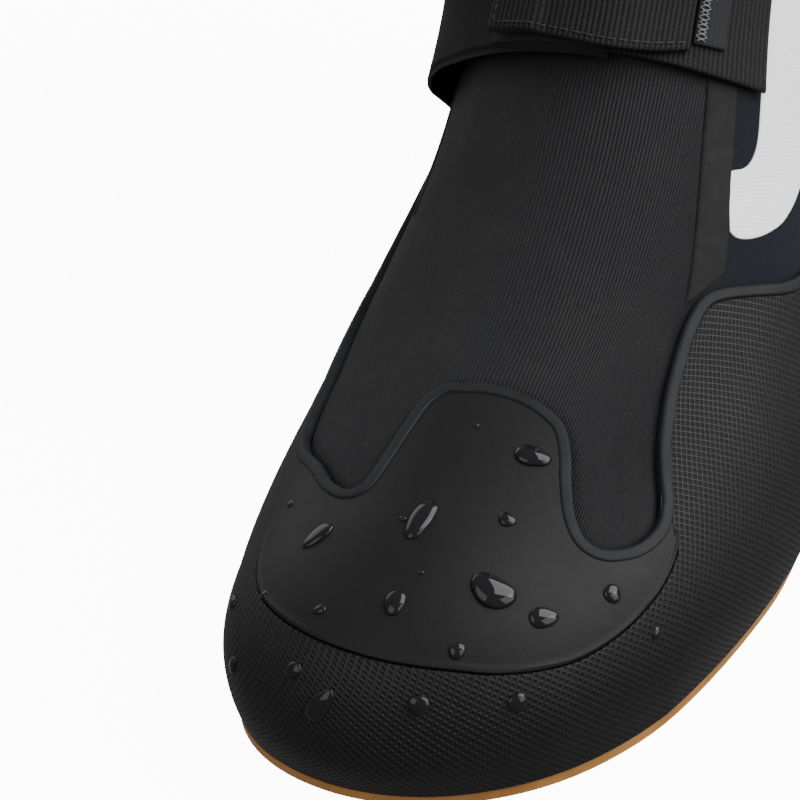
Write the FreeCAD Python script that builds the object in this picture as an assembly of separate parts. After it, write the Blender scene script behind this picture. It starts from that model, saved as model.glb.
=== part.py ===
import FreeCAD, Part
import math
import os

# Neoprene water-sports boot, left foot. Millimetres, +Z up, toe towards -Y, lateral side towards +X.
# Origin: middle of the bounding box at ground level.
# The upper is a wet-suit sock of sewn neoprene panels. A rubber rand, a toe cap and a round bead are bonded on it.
# A webbing strap closes over the instep with hook and loop, and a webbing loop at the heel helps to pull the boot on.

V = FreeCAD.Vector

# ---------------------------------------------------------------- driving dimensions
OX, OY = -5.06, -145.55           # from the last's own frame to the part's frame
OUTSOLE_T = 2.5                  # gum rubber sheet
MIDSOLE_TOP = 6.0                # EVA foam above the gum sheet
SOCK_SOLE_TOP = 8.6              # sewn-in sole panel of the sock
INSOLE_TOP = 12.2                # loose footbed
SOCK_IN, SOCK_OUT = -4.3, -0.5   # neoprene wall, measured from the last surface
STIFF_IN, STIFF_OUT = -0.3, 0.22   # toe and heel stiffeners
RUB_IN, RUB_OUT = 0.42, 1.5      # rand and toe cap
BEAD_W, BEAD_TOP = 2.5, 2.05     # round bead
TRIM_IN, TRIM_OUT = -0.3, 0.5   # vamp strips
BAND_OUT = 0.05                  # thin contrast band
BIND_H = 9.0                     # collar binding, height of its outer leg
STRAP_W = 38.0                   # width of the instep strap
Q0 = 160.5                       # lower edge of the strap, distance along (0, 1, 1)/sqrt(2)
PULL_W = 16.0                    # width of the pull loop's webbing

# ---------------------------------------------------------------- the last
# rows: front point (y, z) and back point (y, z) of each ring, from the sole edge to the collar
ROWS = [
    (4.0, 4.0, 281.0, 4.0), (0.0, 11.0, 286.5, 14.0), (0.5, 20.0, 288.5, 26.0), (6.0, 30.0, 288.0, 38.0),
    (18.0, 38.0, 286.0, 50.0), (40.0, 45.5, 283.0, 60.0), (70.0, 53.0, 280.0, 70.0), (104.0, 64.0, 276.5, 80.0),
    (136.0, 79.0, 273.5, 91.0), (158.0, 98.0, 271.5, 104.0), (170.0, 122.0, 271.5, 124.0),
    (175.0, 152.0, 274.5, 152.0), (176.0, 190.0, 279.5, 190.0), (174.0, 236.0, 285.0, 236.0)]
# outline from above at the widest level: y, lateral x, medial x
OUTLINE = [
    (-1, -13, -13), (4, 6.5, -34), (10, 15, -39.5), (20, 24.8, -43), (35, 36.3, -45.6), (55, 46.8, -46.8),
    (75, 53.2, -46.2), (95, 57, -44.6), (115, 58, -42.5), (140, 56.5, -40.5), (170, 51, -39), (200, 45.5, -38),
    (230, 41.5, -37), (250, 38.5, -35), (265, 33, -30), (278, 22.5, -21), (288.5, 0, 0)]
DORSAL = [(-0.5, 15), (0.5, 20), (6, 30), (18, 38), (40, 45.5), (70, 53), (104, 64), (136, 79), (158, 98),
          (165, 108), (172, 130), (176, 190), (178, 400), (400, 400)]
LEG = [(0, 1.0), (20, 1.0), (45, .93), (70, .93), (90, .95), (110, .90), (140, .86), (170, .92), (236, 1.1)]
CENTRE = [(-1, -13), (10, -11.5), (40, -6), (85, -1.5), (120, 0), (300, 0)]
SHAFT_HALF = {9: 37.5, 10: 36.0, 11: 37.0, 12: 40.5, 13: 45.0}
NCOL = 16
# slimmer heel and ankle: rows 4 to 8, by column from the back (180) to 112 degrees, and an even ring 8
HEEL = {4: (51.0, 53.0, 50.0), 5: (49.0, 51.0, 48.5), 6: (46.0, 48.0, 46.5), 7: (42.5, 44.0, 43.5), 8: (39.5, 41.0, 40.5)}
RING8 = {0: 38.0, 1: 43.0, 2: 42.0, 3: 42.5, 4: 41.5, 5: 40.8, 15: 33.0, 14: 33.5, 13: 36.0, 12: 36.6, 11: 38.0}


def lin(tab, x, k=1):
    if x <= tab[0][0]:
        return tab[0][k]
    for a, b in zip(tab, tab[1:]):
        if x <= b[0]:
            return a[k] + (b[k] - a[k]) * (x - a[0]) / (b[0] - a[0])
    return tab[-1][k]


def half(side, y, z):
    o = lin(OUTLINE, y, 1) if side > 0 else -lin(OUTLINE, y, 2)
    xc = lin(CENTRE, y)
    w = o - xc if side > 0 else o + xc
    zd = lin(DORSAL, y)
    if z <= 20.0:
        g = 1 - 0.085 * ((20.0 - z) / 16.0) ** 2
    else:
        e = max(0.0, min(1.0, (z - 20.0) / max(zd - 20.0, 1e-3)))
        g = (1 - e ** 1.9) ** 0.53
    k = max(0.0, min(1.0, (y - 120) / 60.0))
    k = k * k * (3 - 2 * k)
    return w * g * ((1 - k) + k * lin(LEG, z))


def width_table():
    tab = []
    for i, (dy, dz, hy, hz) in enumerate(ROWS):
        if i in SHAFT_HALF:
            tab.append([SHAFT_HALF[i]] * NCOL)
            continue
        w = [0.0] * NCOL
        for side in (1, -1):
            for c in range(1, 8):
                ph = math.pi * c / 8
                t = (1 - math.cos(ph)) / 2
                w[c if side > 0 else NCOL - c] = half(side, dy + (hy - dy) * t, dz + (hz - dz) * t) / math.sin(ph)
        w[0] = (w[1] + w[15]) / 2
        w[8] = (w[7] + w[9]) / 2
        tab.append(w)
    for i, (a, b, c) in HEEL.items():
        tab[i][8], tab[i][7], tab[i][9], tab[i][6], tab[i][10] = a, b, b - 0.8, c, c - 2.0
    for c, w in RING8.items():
        tab[8][c] = w
    return tab


TAB = width_table()


def seam(tab, v):
    """A seam's angle at v, with the corners of its table rounded."""
    return sum(lin(tab, v + 0.14 * k) for k in range(-3, 4)) / 7


def bsp(p0, p1, p2, p3, f):
    return ((1 - f) ** 3 * p0 + (3 * f ** 3 - 6 * f ** 2 + 4) * p1 + (-3 * f ** 3 + 3 * f ** 2 + 3 * f + 1) * p2 + f ** 3 * p3) / 6


def last_point(v, deg):
    """Point of the last: v 0 at the sole edge to 13 at the collar, deg 0 front, +90 lateral, 180 back."""
    n = len(ROWS)
    i = min(max(int(math.floor(v)), 0), n - 2)
    f = v - i
    ph = math.radians(deg) % (2 * math.pi)
    c = ph / (2 * math.pi) * NCOL
    ci = int(math.floor(c))
    cf = c - ci

    def row(k):
        r = TAB[k]
        w = bsp(r[(ci - 1) % NCOL], r[ci % NCOL], r[(ci + 1) % NCOL], r[(ci + 2) % NCOL], cf)
        return ROWS[k] + (w,)

    def get(k):
        if 0 <= k < n:
            return row(k)
        a, b = (row(0), row(1)) if k < 0 else (row(n - 1), row(n - 2))
        return tuple(2 * p - q for p, q in zip(a, b))
    g = [get(k) for k in (i - 1, i, i + 1, i + 2)]
    dy, dz, hy, hz, w = (bsp(g[0][j], g[1][j], g[2][j], g[3][j], f) for j in range(5))
    t = (1 - math.cos(ph)) / 2
    y, z = dy + (hy - dy) * t, dz + (hz - dz) * t
    return (lin(CENTRE, y) * max(0.0, min(1.0, 1 - (v - 6) / 4)) + math.sin(ph) * w, y, z)


def sub(a, b):
    return (a[0] - b[0], a[1] - b[1], a[2] - b[2])


def add(a, b, k=1.0):
    return (a[0] + k * b[0], a[1] + k * b[1], a[2] + k * b[2])


def dot(a, b):
    return a[0] * b[0] + a[1] * b[1] + a[2] * b[2]


def cross(a, b):
    return (a[1] * b[2] - a[2] * b[1], a[2] * b[0] - a[0] * b[2], a[0] * b[1] - a[1] * b[0])


def unit(a):
    d = math.sqrt(dot(a, a)) or 1.0
    return (a[0] / d, a[1] / d, a[2] / d)


def partials(v, deg):
    h, d = 0.03, 0.5
    a, b = last_point(v + h, deg), last_point(v - h, deg)
    c, e = last_point(v, deg + d), last_point(v, deg - d)
    sv = tuple((p - q) / (2 * h) for p, q in zip(a, b))
    sf = tuple((p - q) / (2 * d) for p, q in zip(c, e))
    return sv, sf


def normal(v, deg):
    sv, sf = partials(v, deg)
    return unit(cross(sf, sv))


def skin(v, deg, o):
    """Point at distance o outside the last."""
    return add(last_point(v, deg), normal(v, deg), o)


def place(p):
    return V(p[0] + OX, p[1] + OY, p[2])


def shift(v, deg, side, d):
    """(v, deg) moved d mm along the unit tangent vector side."""
    sv, sf = partials(v, deg)
    a, b, c = dot(sv, sv), dot(sv, sf), dot(sf, sf)
    p, q = dot(sv, side) * d, dot(sf, side) * d
    det = a * c - b * b
    return v + (p * c - q * b) / det, deg + (a * q - b * p) / det


# ---------------------------------------------------------------- curves on the last, as (v, deg)
def catmull(pts, n):
    """n + 1 points on a smooth curve through pts, evenly spaced by control point."""
    out = []
    m = len(pts) - 1
    for k in range(n + 1):
        t = m * k / n
        i = min(int(t), m - 1)
        f = t - i
        p0, p1, p2, p3 = pts[max(i - 1, 0)], pts[i], pts[i + 1], pts[min(i + 2, m)]
        out.append(tuple(0.5 * (2 * b + (c - a) * f + (2 * a - 5 * b + 4 * c - d) * f * f + (3 * b - a - 3 * c + d) * f ** 3)
                         for a, b, c, d in zip(p0, p1, p2, p3)))
    return out


def resample(pts, n):
    """n + 1 points evenly spaced by length on the last."""
    P = [last_point(*p) for p in pts]
    L = [0.0]
    for a, b in zip(P, P[1:]):
        L.append(L[-1] + math.sqrt(dot(sub(a, b), sub(a, b))))
    out, j = [], 0
    for k in range(n + 1):
        s = L[-1] * k / n
        while j < len(L) - 2 and L[j + 1] < s:
            j += 1
        f = (s - L[j]) / max(L[j + 1] - L[j], 1e-9)
        out.append(tuple(a + (b - a) * f for a, b in zip(pts[j], pts[j + 1])))
    return out


# upper edge of the rubber, from the heel round the medial side, over the toe cap and back along the lateral side
EDGE_MEDIAL = [(4.25, -179.6), (4.1, -170), (3.8, -155), (3.5, -138), (3.3, -120), (3.2, -104), (3.16, -91), (3.2, -84),
               (3.28, -79), (3.4, -75), (3.48, -71), (3.48, -67), (3.46, -62.5), (3.42, -58.8), (3.41, -55.5)]
EDGE_CAP = [(3.42, -52.3), (3.62, -47.5), (3.925, -41.4), (4.138, -33.8), (4.339, -27.8), (4.583, -23.9), (4.9, -22.7),
            (5.225, -21.4), (5.51, -19.2), (5.715, -14.5), (5.805, -8.2), (5.849, -1.5), (5.809, 6.4), (5.684, 13.3),
            (5.467, 19.7), (5.173, 23.6), (4.801, 26.0), (4.416, 28.0), (4.097, 30.2), (3.829, 33.3), (3.664, 37.1),
            (3.62, 40.2)]
EDGE_LATERAL = [(3.7, 42.6), (3.88, 43.6), (4.07, 43.9), (4.567, 43.4), (4.919, 43.2), (5.265, 42.8), (5.616, 42.7),
                (5.863, 43.6), (5.964, 45.9), (5.83, 51.6), (5.504, 59.7), (4.964, 70.3), (4.5, 82), (4.15, 95),
                (3.85, 110), (3.7, 126), (3.72, 142), (3.9, 158), (4.15, 171), (4.25, 179.6)]
# lower edge of the toe cap, medial corner to lateral corner
CAP_LOW = [(3.40, -52.6), (3.241, -44.8), (3.016, -38.3), (2.924, -32.5), (2.922, -27.3), (3.0, -20.4), (3.07, -12.9),
           (3.09, -4.8), (3.03, 3.9), (2.916, 11.6), (2.741, 18.4), (2.62, 24.6), (2.575, 29.3), (2.658, 34.4),
           (2.835, 38.7), (3.105, 42.6), (3.38, 44.6), (3.55, 45.0)]
# seams of the vamp panel: v, deg
SEAM_LAT = [(0.3, 58), (4.0, 53), (5.9, 50.0), (6.48, 48.6), (7.14, 44.6), (7.84, 41.5), (9, 38), (10.5, 37), (13, 37)]
SEAM_MED = [(0.3, -72), (4.0, -80), (5.0, -88), (5.9, -92), (7.14, -92), (7.84, -91), (9, -86), (10.5, -78), (13, -68)]
BACK_SEAM = 150.0                # edge of the back panel, either side of the heel line


# ---------------------------------------------------------------- solid builders
def check(name, s):
    if not s.isValid():
        s.fix(1e-4, 1e-4, 1e-3)
    if s.Volume < 0:
        s.reverse()
    print("%-22s valid %s closed %s volume %.1f" % (name, s.isValid(), s.isClosed(), s.Volume))
    return s


def surface(grid):
    bs = Part.BSplineSurface()
    bs.interpolate([[place(p) for p in row] for row in grid])
    return bs


def slab(outer, inner):
    """Closed solid between two grids of points of the same shape."""
    so, si = surface(outer), surface(inner)
    uo, ui = so.bounds(), si.bounds()
    faces = [so.toShape(), si.toShape()]
    for k in range(4):
        if k < 2:
            a, b = so.uIso(uo[k]), si.uIso(ui[k])
        else:
            a, b = so.vIso(uo[k]), si.vIso(ui[k])
        faces.append(Part.makeRuledSurface(a.toShape(), b.toShape()))
    sh = Part.makeShell(faces)
    sh.sewShape()
    sh = sh.Shells[0] if sh.ShapeType != "Shell" else sh
    return Part.makeSolid(sh)


def patch(low, high, n, o_in, o_out, floor=None):
    """Solid over the region between two curves of the same length, given as (v, deg) lists."""
    def grid(o):
        g = []
        for a, b in zip(low, high):
            row = []
            for j in range(n + 1):
                t = j / n
                v, d = a[0] + (b[0] - a[0]) * t, a[1] + (b[1] - a[1]) * t
                p = skin(v, d, o)
                if floor is not None and j == 0:
                    p = (p[0], p[1], floor)
                row.append(p)
            g.append(row)
        return g
    return slab(grid(o_out), grid(o_in))


def panel(v0, v1, left, right, nv, nf, o_in, o_out, floor=None):
    """Solid over v0..v1 between left(v) and right(v) in degrees."""
    low, high = [], []
    for i in range(nv + 1):
        v = v0 + (v1 - v0) * i / nv
        low.append((v, left(v)))
        high.append((v, right(v)))

    def grid(o):
        g = []
        for i, (a, b) in enumerate(zip(low, high)):
            row = []
            for j in range(nf + 1):
                p = skin(a[0], a[1] + (b[1] - a[1]) * j / nf, o)
                if floor is not None and i == 0:
                    p = (p[0], p[1], floor)
                row.append(p)
            g.append(row)
        return g
    return slab(grid(o_out), grid(o_in))


def ring_at(z, o, n=72):
    """Outline of the last at height z, moved o outwards in plan."""
    out = []
    for k in range(n):
        d = 360.0 * k / n
        a, b = -0.8, 2.5
        for _ in range(30):
            m = (a + b) / 2
            if last_point(m, d)[2] < z:
                a = m
            else:
                b = m
        p, nn = last_point((a + b) / 2, d), normal((a + b) / 2, d)
        h = math.hypot(nn[0], nn[1])
        out.append((p[0] + o * nn[0] / h, p[1] + o * nn[1] / h, z))
    return out


def plate(ring, z0, z1):
    c = Part.BSplineCurve()
    c.interpolate([place((p[0], p[1], z0)) for p in ring], PeriodicFlag=True)
    return Part.Face(Part.Wire([c.toShape()])).extrude(V(0, 0, z1 - z0))


def sweep(sections, name=""):
    """Closed solid through polygon sections with the same number of corners."""
    m = len(sections[0])
    curves = []
    for k in range(m):
        c = Part.BSplineCurve()
        c.interpolate([place(s[k]) for s in sections])
        curves.append(c.toShape())
    faces = [Part.makeRuledSurface(curves[k], curves[(k + 1) % m]) for k in range(m)]
    for s in (sections[0], sections[-1]):
        mid = tuple(sum(p[i] for p in s) / m for i in range(3))
        for k in range(m):
            w = Part.makePolygon([place(mid), place(s[k]), place(s[(k + 1) % m]), place(mid)])
            faces.append(Part.Face(w))
    sh = Part.makeShell(faces)
    sh.sewShape()
    sh = sh.Shells[0] if sh.ShapeType != "Shell" else sh
    return Part.makeSolid(sh)


def rod(points, r, sides=6):
    """Round thread through points (part frame before placing), as a many-sided solid."""
    secs = []
    n = len(points)
    for i, p in enumerate(points):
        t = unit(sub(points[min(i + 1, n - 1)], points[max(i - 1, 0)]))
        a = unit(cross(t, (0.13, 0.21, 0.97) if abs(t[2]) < 0.9 else (1, 0, 0)))
        b = cross(t, a)
        secs.append([add(add(p, a, r * math.cos(2 * math.pi * k / sides)), b, r * math.sin(2 * math.pi * k / sides))
                     for k in range(sides)])
    return sweep(secs)


# ---------------------------------------------------------------- strap coordinates
SQ = math.sqrt(0.5)
UPN = (0.0, SQ, SQ)              # across the strap, towards the shin


def strap_v(q, deg):
    a, b = 4.0, 12.5
    for _ in range(32):
        m = (a + b) / 2
        p = last_point(m, deg)
        if (p[1] + p[2]) * SQ < q:
            a = m
        else:
            b = m
    return (a + b) / 2


QM = Q0 + STRAP_W / 2
_mid = [last_point(strap_v(QM, d), d) for d in range(-130, 131)]
_len = [0.0]
for _a, _b in zip(_mid, _mid[1:]):
    _len.append(_len[-1] + math.sqrt(dot(sub(_a, _b), sub(_a, _b))))
_zero = _len[130]


def strap_deg(s):
    """Angle at distance s along the strap's middle line, 0 at the front, + lateral."""
    s += _zero
    for i in range(len(_len) - 1):
        if _len[i + 1] >= s:
            return i - 130 + (s - _len[i]) / (_len[i + 1] - _len[i])
    return 130.0


def strap_s(deg):
    i = int(math.floor(deg + 130))
    return _len[i] + (_len[min(i + 1, 260)] - _len[i]) * (deg + 130 - i) - _zero


def strap_point(s, w, o):
    """s along the strap, w across it (0 lower edge .. STRAP_W), o outside the last."""
    d0 = strap_deg(s)
    m = last_point(strap_v(QM, d0), d0)
    a = last_point(strap_v(QM, d0 + 0.5), d0 + 0.5)
    b = last_point(strap_v(QM, d0 - 0.5), d0 - 0.5)
    t = unit(sub(a, b))
    q = Q0 + w
    lo, hi = d0 - 30, d0 + 30
    for _ in range(24):
        mid = (lo + hi) / 2
        p = last_point(strap_v(q, mid), mid)
        if dot(sub(p, m), t) < 0:
            lo = mid
        else:
            hi = mid
    d = (lo + hi) / 2
    v = strap_v(q, d)
    return skin(v, d, o)


def strap_slab(s0, s1, o_in, o_out, w0=0.0, w1=STRAP_W, n=12, m=4):
    """Band between s0 and s1. o_in, o_out and w0 are numbers or functions of s."""
    fw = w0 if callable(w0) else (lambda s: w0)
    fi = o_in if callable(o_in) else (lambda s: o_in)
    fo = o_out if callable(o_out) else (lambda s: o_out)
    ga, gb = [], []
    for i in range(n + 1):
        s = s0 + (s1 - s0) * i / n
        ga.append([strap_point(s, fw(s) + (w1 - fw(s)) * j / m, fo(s)) for j in range(m + 1)])
        gb.append([strap_point(s, fw(s) + (w1 - fw(s)) * j / m, fi(s)) for j in range(m + 1)])
    return slab(ga, gb)


# ---------------------------------------------------------------- the parts
parts = {}

# sole
tread = plate(ring_at(2.6, 1.25), 0.0, OUTSOLE_T)
cuts = []
for k in range(24):
    y = 22 + k * 10.6
    if 122 < y < 178:
        continue
    for sgn in (-1, 1):
        c = Part.makeBox(30, 1.4, 1.2, V(0, -0.7, -0.2))
        c.rotate(V(0, 0, 0), V(0, 0, 1), 20 if sgn > 0 else 160)
        x0 = lin(CENTRE, y) + (2.4 if sgn > 0 else -2.4)
        c.translate(V(x0 + OX, y + OY, 0))
        cuts.append(c)
tread = tread.cut(Part.makeCompound(cuts))
tread = tread.Solids[0] if len(tread.Solids) == 1 else max(tread.Solids, key=lambda s: s.Volume)
parts["outsole"] = tread
parts["midsole_foam"] = plate(ring_at(4.5, -0.9), OUTSOLE_T + 0.05, MIDSOLE_TOP)
parts["sock_sole_panel"] = plate(ring_at(7.3, -5.3), MIDSOLE_TOP + 0.05, SOCK_SOLE_TOP)
parts["insole"] = plate(ring_at(10.0, -5.7), SOCK_SOLE_TOP + 0.05, INSOLE_TOP)


def v_at(z, d):
    a, b = -0.8, 3.0
    for _ in range(30):
        m = (a + b) / 2
        if last_point(m, d)[2] < z:
            a = m
        else:
            b = m
    return (a + b) / 2


# sock panels; their lower edge rests on the midsole
V_SOCK = 0.3
floor = MIDSOLE_TOP + 0.06
GAPD = 0.22                       # half seam gap, degrees
parts["vamp_panel"] = panel(V_SOCK, 12.97, lambda v: seam(SEAM_MED, v) + GAPD, lambda v: seam(SEAM_LAT, v) - GAPD, 36, 24,
                            SOCK_IN, SOCK_OUT, floor)
parts["side_panel_lateral"] = panel(V_SOCK, 12.97, lambda v: seam(SEAM_LAT, v) + GAPD, lambda v: BACK_SEAM - GAPD, 36, 18,
                                    SOCK_IN, SOCK_OUT, floor)
parts["side_panel_medial"] = panel(V_SOCK, 12.97, lambda v: -BACK_SEAM + GAPD, lambda v: seam(SEAM_MED, v) - GAPD, 36, 18,
                                   SOCK_IN, SOCK_OUT, floor)
parts["back_panel"] = panel(V_SOCK, 12.97, lambda v: BACK_SEAM + GAPD, lambda v: 360 - BACK_SEAM - GAPD, 36, 12,
                            SOCK_IN, SOCK_OUT, floor)

# stiffeners between the sock and the rubber
parts["heel_counter"] = panel(0.35, 3.3, lambda v: 118.0 + 3 * v, lambda v: 242.0 - 3 * v, 16, 36, STIFF_IN, STIFF_OUT)
parts["toe_stiffener"] = panel(0.35, 2.75, lambda v: -40.0 + 3 * v, lambda v: 38.0 - 3 * v, 10, 18, STIFF_IN, STIFF_OUT)

# rubber rand, toe cap and bead
edge = catmull(EDGE_MEDIAL + EDGE_CAP + EDGE_LATERAL, 53 * 6)
edge = resample(edge, 240)


def offset_curve(pts, d):
    """Curve moved d mm to its right-hand side, seen from outside with the sole below (d > 0 goes down)."""
    out = []
    P = [last_point(*p) for p in pts]
    n = len(pts)
    for i, p in enumerate(pts):
        t = unit(sub(P[min(i + 1, n - 1)], P[max(i - 1, 0)]))
        side = cross(t, normal(*p))
        # t runs towards +deg; t x n then points down the last
        out.append(shift(p[0], p[1], side, d))
    return out


def untangle(low, high):
    return low, high


n_med = len(EDGE_MEDIAL)
med = resample(catmull(EDGE_MEDIAL + EDGE_CAP[:1], 6 * n_med), 60)
latc = resample(catmull(EDGE_CAP[-1:] + EDGE_LATERAL, 6 * len(EDGE_LATERAL)), 84)
capu = resample(catmull(EDGE_CAP, 6 * len(EDGE_CAP)), 66)
capl = resample(catmull(CAP_LOW, 6 * len(CAP_LOW)), 66)

med_o = offset_curve(med, BEAD_W / 2 + 0.12)
lat_o = offset_curve(latc, BEAD_W / 2 + 0.12)
capu_o = offset_curve(capu, BEAD_W / 2 + 0.12)


def lowest(pts):
    """Foot of each point of a rand edge on the sole line, spread evenly."""
    return pts


V_RAND = -0.2
# medial half, front and lateral half of the rand are one moulded strip: its upper edge is one curve
front_o = offset_curve(capl, 0.12)
upper = [p for p in med_o if p[1] < -53.2] + [p for p in front_o if -52.4 < p[1] < 44.9] + [p for p in lat_o if p[1] > 45.2 or p[0] > 4.0]
# sort out the lateral riser, where the edge climbs almost straight up
upper = resample(upper, 224)[2:-2]      # its ends stop just short of the heel line
lens = [0.0]
for a, b in zip(upper, upper[1:]):
    lens.append(lens[-1] + 1.0)
lower = []
for i, (v, d) in enumerate(upper):
    lower.append((V_RAND, d))
# spread the feet: running mean of the angles keeps the rulings from crossing
for _ in range(130):
    lower = [lower[0]] + [(V_RAND, (lower[i - 1][1] + lower[i][1] + lower[i + 1][1]) / 3) for i in range(1, len(lower) - 1)] + [lower[-1]]


def close_ends(c):
    """The same curve with a second point close to each end, which keeps the surface true there."""
    a = tuple(p + (q - p) * 0.04 for p, q in zip(c[0], c[1]))
    b = tuple(p + (q - p) * 0.04 for p, q in zip(c[-1], c[-2]))
    return [c[0], a] + c[1:-1] + [b, c[-1]]


parts["rand"] = patch(close_ends(lower), close_ends(upper), 16, RUB_IN, RUB_OUT, OUTSOLE_T + 0.1)
parts["toe_cap"] = patch(capl[1:-1], capu_o[1:-1], 12, RUB_IN, RUB_OUT + 0.05)

secs = []
P = [last_point(*p) for p in edge]
for i, p in enumerate(edge):
    t = unit(sub(P[min(i + 1, len(P) - 1)], P[max(i - 1, 0)]))
    nn = normal(*p)
    side = unit(cross(t, nn))
    w = BEAD_W / 2
    sec = []
    for (a, h) in ((-1.0, -0.24), (-1.0, 1.1), (-0.7, BEAD_TOP - 0.2), (0.0, BEAD_TOP), (0.7, BEAD_TOP - 0.1), (1.0, 1.4), (1.0, -0.24)):
        sec.append(add(add(P[i], side, a * w), nn, h))
    secs.append(sec)
parts["bead_trim"] = sweep(secs)


# a rubber patch covers the joint of the rand at the heel
parts["heel_patch"] = panel(-0.15, 3.95, lambda v: 166.5 + 0.9 * v, lambda v: 193.5 - 0.9 * v, 20, 16, RUB_OUT + 0.42, 2.65, OUTSOLE_T + 0.1)

# smooth strips along both edges of the vamp
STRIP_W = [(5.9, 9.5), (6.4, 9.3), (7.1, 9.6), (7.84, 9.2), (9, 8.6), (13, 8.2)]
parts["vamp_strip_lateral"] = panel(6.16, 12.7, lambda v: seam(SEAM_LAT, v) - seam(STRIP_W, v), lambda v: seam(SEAM_LAT, v), 24, 4,
                                    TRIM_IN, TRIM_OUT)
parts["vamp_strip_medial"] = panel(4.72, 12.7, lambda v: seam(SEAM_MED, v) + 0.1, lambda v: seam(SEAM_MED, v) + seam(STRIP_W, v), 28, 4,
                                   TRIM_IN, TRIM_OUT)
# contrast band on the lateral side: a bar behind the vamp strip that turns up to the collar
BAND_OUTER = [(6.52, 48.6), (6.38, 51.0), (6.2, 56), (6.02, 62), (5.92, 67), (6.0, 71.5), (6.35, 74.5), (6.9, 75.5), (7.6, 75),
              (8.6, 73), (9.6, 71), (10.6, 69), (11.6, 68), (12.68, 67.5)]
BAND_INNER = [(7.12, 45.2), (7.07, 47), (7.02, 49.5), (7.02, 51.2), (7.1, 52.4), (7.25, 52.2), (7.5, 51.0), (7.75, 49.9), (8.05, 49.2),
              (8.6, 48.2), (9.4, 47.0), (10.4, 46.2), (11.5, 46.0), (12.68, 46.0)]
parts["contrast_band"] = patch(resample(catmull(BAND_OUTER, 80), 40), catmull(BAND_INNER, 40), 5, TRIM_IN, BAND_OUT)
# tape over the heel seam
parts["back_seam_tape"] = panel(4.45, 12.7, lambda v: 180 - 9.5, lambda v: 180 + 9.5, 18, 4, TRIM_IN, TRIM_OUT - 0.2)


def ring_sweep(vo, n=96):
    """Closed ring of a polygon section given as (v, o) corners."""
    curves = []
    for v, o in vo:
        c = Part.BSplineCurve()
        c.interpolate([place(skin(v, 360.0 * k / n, o)) for k in range(n)], PeriodicFlag=True)
        curves.append(c.toShape())
    faces = [Part.makeRuledSurface(curves[k], curves[(k + 1) % len(vo)]) for k in range(len(vo))]
    sh = Part.makeShell(faces)
    sh.sewShape()
    sh = sh.Shells[0] if sh.ShapeType != "Shell" else sh
    return Part.makeSolid(sh)


VB = 13 - BIND_H / 46.0
parts["collar_binding"] = ring_sweep([(VB, SOCK_OUT + 0.2), (VB, 0.75), (13.03, 0.75), (13.03, SOCK_IN - 1.25), (VB, SOCK_IN - 1.25),
                                      (VB, SOCK_IN - 0.2), (12.995, SOCK_IN - 0.2), (12.995, SOCK_OUT + 0.2)])


# ---------------------------------------------------------------- instep strap
def low_s(deg):
    """Distance along the strap where its lower edge is at this angle."""
    a, b = -110.0, 110.0
    for _ in range(30):
        m = (a + b) / 2
        d0 = strap_deg(m)
        mm = last_point(strap_v(QM, d0), d0)
        t = unit(sub(last_point(strap_v(QM, d0 + 0.5), d0 + 0.5), last_point(strap_v(QM, d0 - 0.5), d0 - 0.5)))
        p = last_point(strap_v(Q0, deg), deg)
        if dot(sub(p, mm), t) > 0:
            a = m
        else:
            b = m
    return (a + b) / 2


S_ROOT, S_FREE = low_s(25.0), -20.8      # flap: sewn end and free end
S_BASE0, S_BASE1 = low_s(-3.0), low_s(50.0)     # webbing sewn on the lateral side
S_MED0, S_MED1 = low_s(-104.0), low_s(3.5)      # strap from the medial side
print("strap s: free %.1f base0 %.1f med1 %.1f root %.1f base1 %.1f med0 %.1f" % (S_FREE, S_BASE0, S_MED1, S_ROOT, S_BASE1, S_MED0))
S_PATCH1 = S_ROOT + 7.0


def ramp(s, a, b, x, y):
    t = max(0.0, min(1.0, (s - a) / (b - a)))
    t = t * t * (3 - 2 * t)
    return x + (y - x) * t


BASE_IN, BASE_OUT = 0.56, 1.86
med_in = lambda s: ramp(s, S_MED0, -55.0, -0.3, 5.2) if s < -52 else ramp(s, -50.0, -24.0, 5.2, 1.94)
med_low = lambda s: -1.6 - ramp(-s, 38.0, 62.0, 0.0, 3.0)
base_low = lambda s: -ramp(s, 4.0, 32.0, 0.0, 1.25)
parts["strap_base"] = strap_slab(S_BASE0, S_BASE1, BASE_IN, BASE_OUT, base_low)
parts["strap_medial"] = strap_slab(S_MED0, S_MED1, med_in, lambda s: med_in(s) + 1.1, med_low, n=26)
parts["strap_loop_tape"] = strap_slab(S_FREE - 1, S_MED1 - 0.4, lambda s: 3.1, lambda s: 3.7, 0.2, STRAP_W - 1.5, n=14)
parts["strap_patch"] = strap_slab(S_ROOT + 0.5, S_PATCH1, BASE_OUT + 0.06, BASE_OUT + 1.1, 4.6, STRAP_W + 0.8, n=4)
FLAP_IN = lambda s: ramp(s, S_MED1 - 1, S_ROOT, 4.6, 2.25)
FLAP_LOW = [(-20.8, 1.85), (-17.6, 1.55), (-14.4, 1.4), (-11.3, 1.2), (-8.1, 0.85), (-4.9, 0.35), (-1.7, -0.15), (1.5, -0.45),
            (4.6, -0.4), (7.8, 0.1), (11.0, 0.85), (14.2, 1.75), (17.4, 2.9)]      # lower edge of the flap: s, w
flap_w = lambda s: sum(lin(FLAP_LOW, s + k) for k in (-2.0, -1.0, 0.0, 1.0, 2.0)) / 5


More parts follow.
